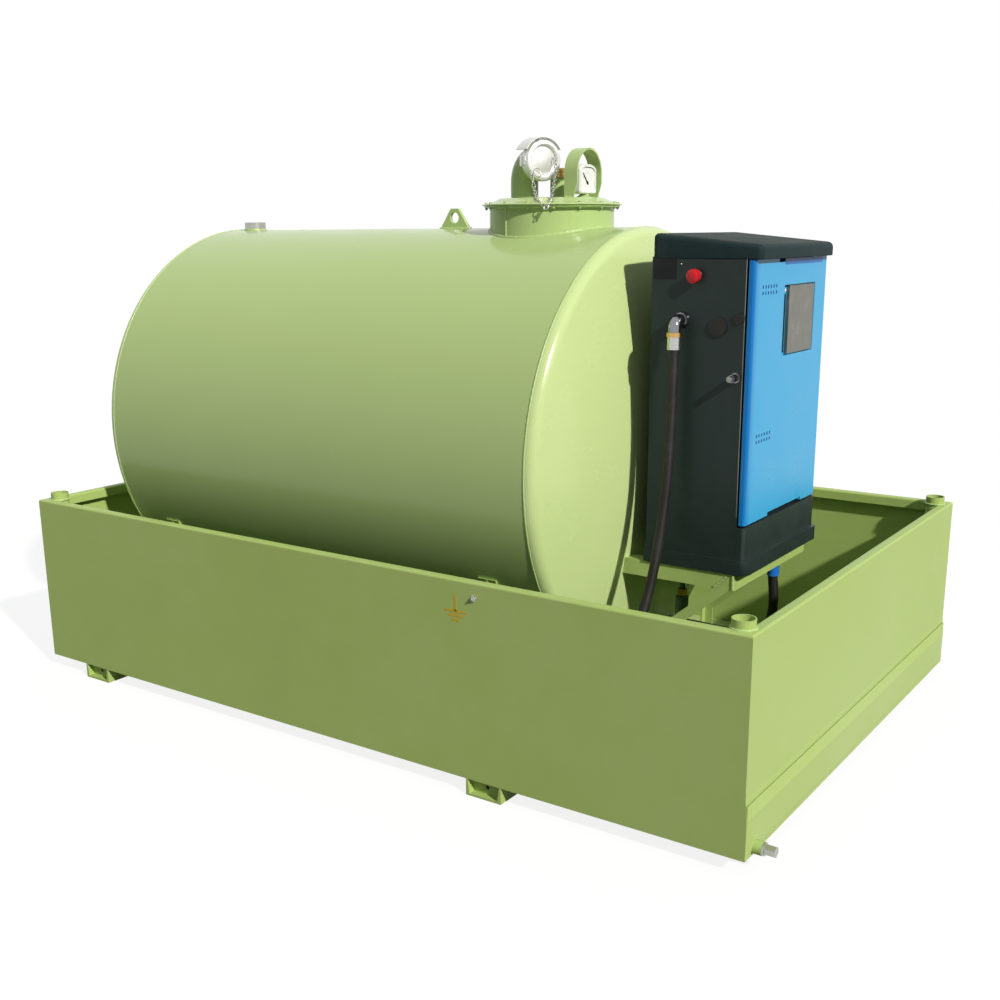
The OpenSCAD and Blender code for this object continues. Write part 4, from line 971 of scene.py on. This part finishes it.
def make_fill_cap():
    """Cast cap: a rolled outer rim, a recessed face with a ridge, two cam levers and a pull ring."""
    bm = bmesh.new()
    rim = [(0.04, 0), (0.0415, 0.0005), (0.043, 0.008), (0.046, 0.0105), (0.051, 0.0105), (0.0555, 0.008),
           (0.0575, 0.002), (0.0575, -0.01), (0.0565, -0.012), (0.0558, -0.012), (0.0558, -0.002),
           (0.04, -0.002), (0.04, 0)]
    face = [(0, 0.003), (0.03, 0.003), (0.033, 0.001), (0.04, 0.0008), (0.04, -0.001), (0, -0.001)]
    for profile in (rim, face):
        spin_profile(bm, [(r, cap_face + h) for r, h in profile], along_fill, 72)
    bm_piece("cap_rim", bm, aluminium)
    half_lever = [(0.014, 0.0), (0.016, 0.006), (0.006, 0.01), (0.004, 0.03)]
    outline = [(-0.014, 0.0)] + half_lever + [(-x, y) for x, y in half_lever[:0:-1]]
    for side, word in ((-1, "right"), (1, "left")):
        lever = bmesh.new()
        base = fill_place @ Matrix.Translation((cap_face - 0.03, side * 0.06, 0))
        turn = Matrix.Rotation(side * math.pi / 2, 4, "X") @ Matrix.Rotation(-math.pi / 2, 4, "Z")
        plate(lever, outline, 0.007, base @ turn)
        bm_piece(f"cap_lever_{word}", lever, aluminium, bevel=0.0015)
        turned_piece(f"cap_pin_{word}", [(0, -0.016), (0.004, -0.016), (0.004, 0.016), (0, 0.016)],
                     fill_place @ Matrix.Translation((cap_face - 0.02, side * 0.0615, 0)), 16, steel)
    ring_mid = along_fill @ Vector((0.034, -0.026, cap_face + 0.0125))
    across = (along_fill.to_3x3() @ Vector((0.8, -0.45, 0.3))).normalized()
    other = (along_fill.to_3x3() @ UP).cross(across).normalized()
    loop = [ring_mid + 0.013 * (math.cos(a) * across + math.sin(a) * other)
            for a in (2 * math.pi * k / 32 for k in range(32))]
    tube_piece("cap_ring", loop, 0.0012, 8, steel, closed=True)


make_fill_cap()


def make_chain():
    """Safety chain from the cap's two sides to one ring that hangs over the lid's edge."""
    rim = Vector((lid_mid.x, 0, lid_high.z))
    meet = (0.1011, -0.19, -0.0288)
    strands = {
        "left": [(0.0004, -0.11, 0.0676), (0.0274, -0.135, 0.0174), (0.0674, -0.178, -0.0124), meet],
        "right": [(0.0247, -0.02, 0.1106), (0.0437, -0.05, 0.0656), (0.063, -0.09, 0.0393),
                  (0.0894, -0.14, 0.0066), (0.1075, -0.1765, -0.0122), meet],
    }
    for name, points in strands.items():
        grow(f"cap_chain_{name}", chain_tree, {"Pitch": 0.014, "Link": 0.0078, "Wire": 0.0013}, zinc,
             smooth_path([rim + Vector(p) for p in points], 8))


make_chain()


# ---- level gauge

def arched(w, h, top_x, top_y, low_r):
    """Outline of the gauge: a low arch on top, made of two ovals, and round lower corners."""
    return quarter_arcs([(w - top_x, h - top_y, top_x, top_y), (top_x - w, h - top_y, top_x, top_y),
                         (low_r - w, low_r - h, low_r, low_r), (w - low_r, low_r - h, low_r, low_r)], 14)


def make_gauge():
    """Arch-topped white case with a plain dial and a dark pointer."""
    mid, depth = middle("gauge_box"), size("gauge_box").x
    place = facing((gauge_high.x - depth, mid.y, mid.z), (1, 0, 0))
    wide, tall, top_x, top_y = 0.0455, 0.041, 0.029, 0.0135

    outer = arched(wide, tall, 0.034, 0.017, 0.009)
    front = arched(wide - 0.003, tall - 0.003, 0.0315, 0.0155, 0.0075)
    inner = arched(wide - 0.0075, tall - 0.0075, top_x, top_y, 0.005)
    bm = bmesh.new()
    loft(bm, [[place @ Vector((x, y, z)) for x, y in outline] for outline, z in (
        (outer, 0.0), (outer, depth - 0.004), (front, depth), (inner, depth), (inner, depth - 0.005))])
    case = add_object("gauge_case", finish_mesh(bm, "gauge_case", 30))
    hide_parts("gauge_box")
    dress(case, white_plastic, "tank")

    def on_card(up, turn=0):
        """A place on the dial's centre, turned by degrees."""
        centre = Matrix.Translation((0, -0.01, depth - 0.0048 + up))
        return place @ centre @ Matrix.Rotation(math.radians(turn), 4, "Z")

    card = bmesh.new()
    plate(card, arched(wide - 0.0078, tall - 0.0078, top_x, top_y, 0.005), 0.0003,
          place @ Matrix.Translation((0, 0, depth - 0.0048)))
    bm_piece("gauge_card", card, dial_white)
    marks = bmesh.new()
    for k in range(9):
        start = 0.0245 if k % 4 == 0 else 0.0265
        plate(marks, [(start, -0.0004), (0.03, -0.0004), (0.03, 0.0004), (start, 0.0004)], 0.0002,
              on_card(0.0003, 30 + 15 * k))
    bm_piece("gauge_marks", marks, dial_grey)
    hand = bmesh.new()
    plate(hand, [(-0.006, -0.0017), (0.012, -0.0019), (0.037, -0.0007), (0.037, 0.0007), (0.012, 0.0019),
                 (-0.006, 0.0017)], 0.0008, on_card(0.0014, 134))
    spin_profile(hand, [(0, 0), (0.004, 0), (0.004, 0.0022), (0.003, 0.0028), (0, 0.0028)],
                 on_card(0.0003), 20)
    bm_piece("gauge_hand", hand, black_plastic)


make_gauge()


# ---- cabinet trim

def make_side_trim():
    """Bare plate and its rivet on the side, and the button's collar and dome."""
    side = body_low.y
    block_piece("bare_plate", [((body_low.x + 0.004, side - 0.0008, 1.305),
                                (body_low.x + 0.07, side, 1.3575))],
                black_plate_and_gap_shade, bevel=0.0003)
    turned_piece("side_rivet", [(0, 0.0022), (0.001, 0.0021), (0.0019, 0.0012), (0.0023, 0), (0, 0)],
                 facing((body_low.x + 0.083, side, 1.3433)), 16, steel)
    button = middle("stop_button")
    turned_piece("button_collar", [(0.0095, 0), (0.0165, 0), (0.0165, 0.0025), (0.015, 0.004),
                                   (0.0095, 0.004), (0.0095, 0)],
                 facing((button.x, side, button.z)), 32, black_plastic)
    turned_piece("button_dome", [(0, 0.003), (0.006, 0.0027), (0.011, 0.0018), (0.015, 0.0002),
                                 (0.017, -0.0022), (0.0178, -0.005), (0.0178, -0.01), (0, -0.01)],
                 facing((button.x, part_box("stop_button")[0].y, button.z)), 48,
                 red_plastic, "button")


make_side_trim()


def ring_piece(name, node, radius, z0, z1, segments=40):
    """A plain brass ring or nut that stands upright in the middle of a node."""
    ease = min(0.0015, (z1 - z0) / 4)
    centre = middle(node)
    turned_piece(name, [(0, z0), (radius - ease, z0), (radius, z0 + ease), (radius, z1 - ease),
                        (radius - ease, z1), (0, z1)],
                 Matrix.Translation((centre.x, centre.y, 0)), segments, brass)


def make_small_pieces():
    """Dip collars, filter nut, lock ball, the side panel's edge, and the door's own small pieces, three of
    them plates of painted shade: in the display's gap, in the vent slots and along the grip notch.
    """
    dip_low, dip_high = (corner.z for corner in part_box("dip_plug"))
    ring_piece("dip_collar_upper", "dip_plug", 0.0265, dip_high - 0.012, dip_high + 0.0012)
    ring_piece("dip_collar_lower", "dip_plug", 0.0265, dip_low - 0.004, dip_low + 0.006)
    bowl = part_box("suction_filter")[0].z
    ring_piece("filter_nut", "suction_filter", 0.015, bowl + 0.053, bowl + 0.074, 6)
    lock = middle("key_lock")
    turned_piece("lock_ball", [(0, 0.0006), (0.0035, 0), (0.0065, -0.002), (0.0082, -0.005), (0.0082, -0.008),
                               (0, -0.008)],
                 facing((lock.x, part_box("key_lock")[0].y, lock.z)), 24, chrome)
    block_piece("panel_edge", [((body_high.x - 0.0022, body_low.y - 0.0004, 0.7),
                                (body_high.x, body_low.y, body_high.z - 0.004))], display_metal)
    low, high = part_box("display_panel")
    # painted shade: a black plate in the gap beside the display plate, where it stands off the recess floor
    block_piece("display_gap_shade", [((low.x - 0.0004, low.y - 0.013, low.z + 0.004),
                                  (low.x + 0.0006, low.y - 0.0045, high.z - 0.022))],
                black_plate_and_gap_shade, "door")
    turned_piece("display_dot", [(0, 0.0022), (0.003, 0.0018), (0.0042, 0.0005), (0.0042, 0), (0, 0)],
                 facing((low.x, low.y - 0.009, high.z - 0.012), (1, 0, 0)), 20,
                 white_plastic, "door")
    skin_back = door_high.x - 0.003
    # painted shade: dark blue plates inside the door's skin fill the vent slots, where the slots' walls lie
    # in shade
    block_piece("vent_slot_shade", [
        ((skin_back + 0.0016, -0.208, z - 0.017), (skin_back + 0.0025, -0.085, z + 0.017))
        for z in (door_high.z - 0.076, door_high.z - 0.455)], vent_shade_blue, body="door")
    # painted shade: a thin deep blue strip along the door's top, for the shade in the grip notch under the
    # hood
    block_piece("painted_notch_shade", [((door_high.x - 0.0002, low.y - 0.042, door_high.z - 0.016),
                                (door_high.x + 0.0004, door_high.y - 0.04, door_high.z - 0.001))],
                notch_shade_blue, body="door")


make_small_pieces()


def make_outlet():
    """Chrome elbow that carries the hose: out of the side, round a tight bend, down to the swivel."""
    low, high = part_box("hose_outlet")
    x, height = (low.x + high.x) / 2, high.z - 0.01905
    bend, down = 0.0215, -0.294
    path = [Vector((x, body_low.y, height)), Vector((x, body_low.y - 0.006, height))]
    for k in range(13):
        a = math.pi / 2 * k / 12
        path.append(Vector((x, down + bend * (1 - math.sin(a)), height - bend * (1 - math.cos(a)))))
    path.append(Vector((x, down, low.z)))
    elbow = add_object("outlet_elbow", sweep_mesh("outlet_elbow", path, 0.0165, 28))
    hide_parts("hose_outlet")
    dress(elbow, chrome, "tank")
    turned_piece("outlet_ring", [(0.0155, 0.0), (0.0215, 0.0), (0.0215, 0.003), (0.0195, 0.006),
                                 (0.019, 0.012), (0.0155, 0.012), (0.0155, 0.0)],
                 facing((x, body_low.y, height)), 48, chrome)
    low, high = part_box("hose_ferrule")
    mid = middle("hose_ferrule")
    bands = bmesh.new()
    for z in (low.z + 0.007, high.z - 0.007):
        spin_profile(bands, [(0.0176, z - 0.004), (0.0184, z - 0.0034), (0.0184, z + 0.0034),
                             (0.0176, z + 0.004), (0.0176, z - 0.004)],
                     Matrix.Translation((mid.x, mid.y, 0)), 40)
    bm_piece("ferrule_rings", bands, steel)


make_outlet()


# ---- moulded hood

def make_hood():
    """Hood with round corners and a top that falls to the front."""
    low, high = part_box("cabinet_hood")
    low.z = door_high.z + 0.001
    front_h, edge, corner = 0.036, 0.014, 0.018

    def outline(inset):
        r = max(corner - inset, 0.004)
        d = inset + r
        return quarter_arcs([(high.x - d, high.y - d, r, r), (low.x + d, high.y - d, r, r),
                             (low.x + d, low.y + d, r, r), (high.x - d, low.y + d, r, r)], 8)

    def top(x):
        return high.z + (front_h - (high.z - low.z)) * (x - low.x) / (high.x - low.x)

    lip = 0.0025
    rows = [[(x, y, low.z) for x, y in outline(lip)], [(x, y, low.z + lip) for x, y in outline(0.0)]]
    for k in range(9):
        a = math.pi / 2 * k / 8
        inset, under = edge * (1 - math.cos(a)), edge * (1 - math.sin(a))
        rows.append([(x, y, top(x) - under) for x, y in outline(inset)])
    bm = bmesh.new()
    loft(bm, rows)
    hood = add_object("moulded_hood", finish_mesh(bm, "moulded_hood", 40))
    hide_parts("cabinet_hood")
    dress(hood, hood_coat, "tank")


make_hood()


# ---- edges of the CAD pieces

ease_edges("cabinet_base", 0.003, 3)
ease_edges("manhole_lid", 0.0008, 2)


# ---- stage and light

def make_stage():
    """A plain pale floor that looks white and keeps the shadow."""
    bm = bmesh.new()
    bmesh.ops.create_grid(bm, x_segments=1, y_segments=1, size=14)
    floor = add_object("stage_floor", finish_mesh(bm, "stage_floor"))
    material = bpy.data.materials.new("stage white")
    material.use_nodes = True
    n = Nodes(material.node_tree)
    for key, value in {
        "Base Color": (0.16, 0.16, 0.155, 1), "Roughness": 0.9, "Specular IOR Level": 0.0,
        "Emission Color": (1, 1, 1, 1), "Emission Strength": n.math("MULTIPLY", n.seen(), 0.86),
    }.items():
        n.put(principled(material)[key], value)
    floor.data.materials.append(material)


def make_light():
    """A white surround, a soft sky that lights from above, and a low sun from the right."""
    world = bpy.data.worlds.new("studio")
    bpy.context.scene.world = world
    world.use_nodes = True
    tree = world.node_tree
    n = Nodes(tree)
    tree.nodes.clear()
    direction = n.out("ShaderNodeTexCoord", key="Generated")
    height = n.out("ShaderNodeSeparateXYZ", {0: direction}, "Z")
    soft = n.out("ShaderNodeBackground", {
        "Color": (0.9, 0.95, 1.0, 1), "Strength": n.spread(height, 0.0, 1.0, 0.03, 0.6)})
    white = n.out("ShaderNodeBackground", {"Color": (1, 1, 1, 1), "Strength": 1.0})
    mixed = n.out("ShaderNodeMixShader", {0: n.seen(), 1: soft, 2: white})
    n.add("ShaderNodeOutputWorld", {"Surface": mixed})
    data = bpy.data.lights.new("key light", "SUN")
    data.energy = 3.6
    data.angle = math.radians(2)
    data.color = (1.0, 0.97, 0.9)
    key = bpy.data.objects.new("key light", data)
    towards = Vector((0.785, -0.3, 0.542)).normalized()
    key.rotation_euler = towards.to_track_quat("Z", "Y").to_euler()
    bpy.context.scene.collection.objects.link(key)


make_stage()
make_light()
bpy.context.scene.view_settings.view_transform = "Standard"
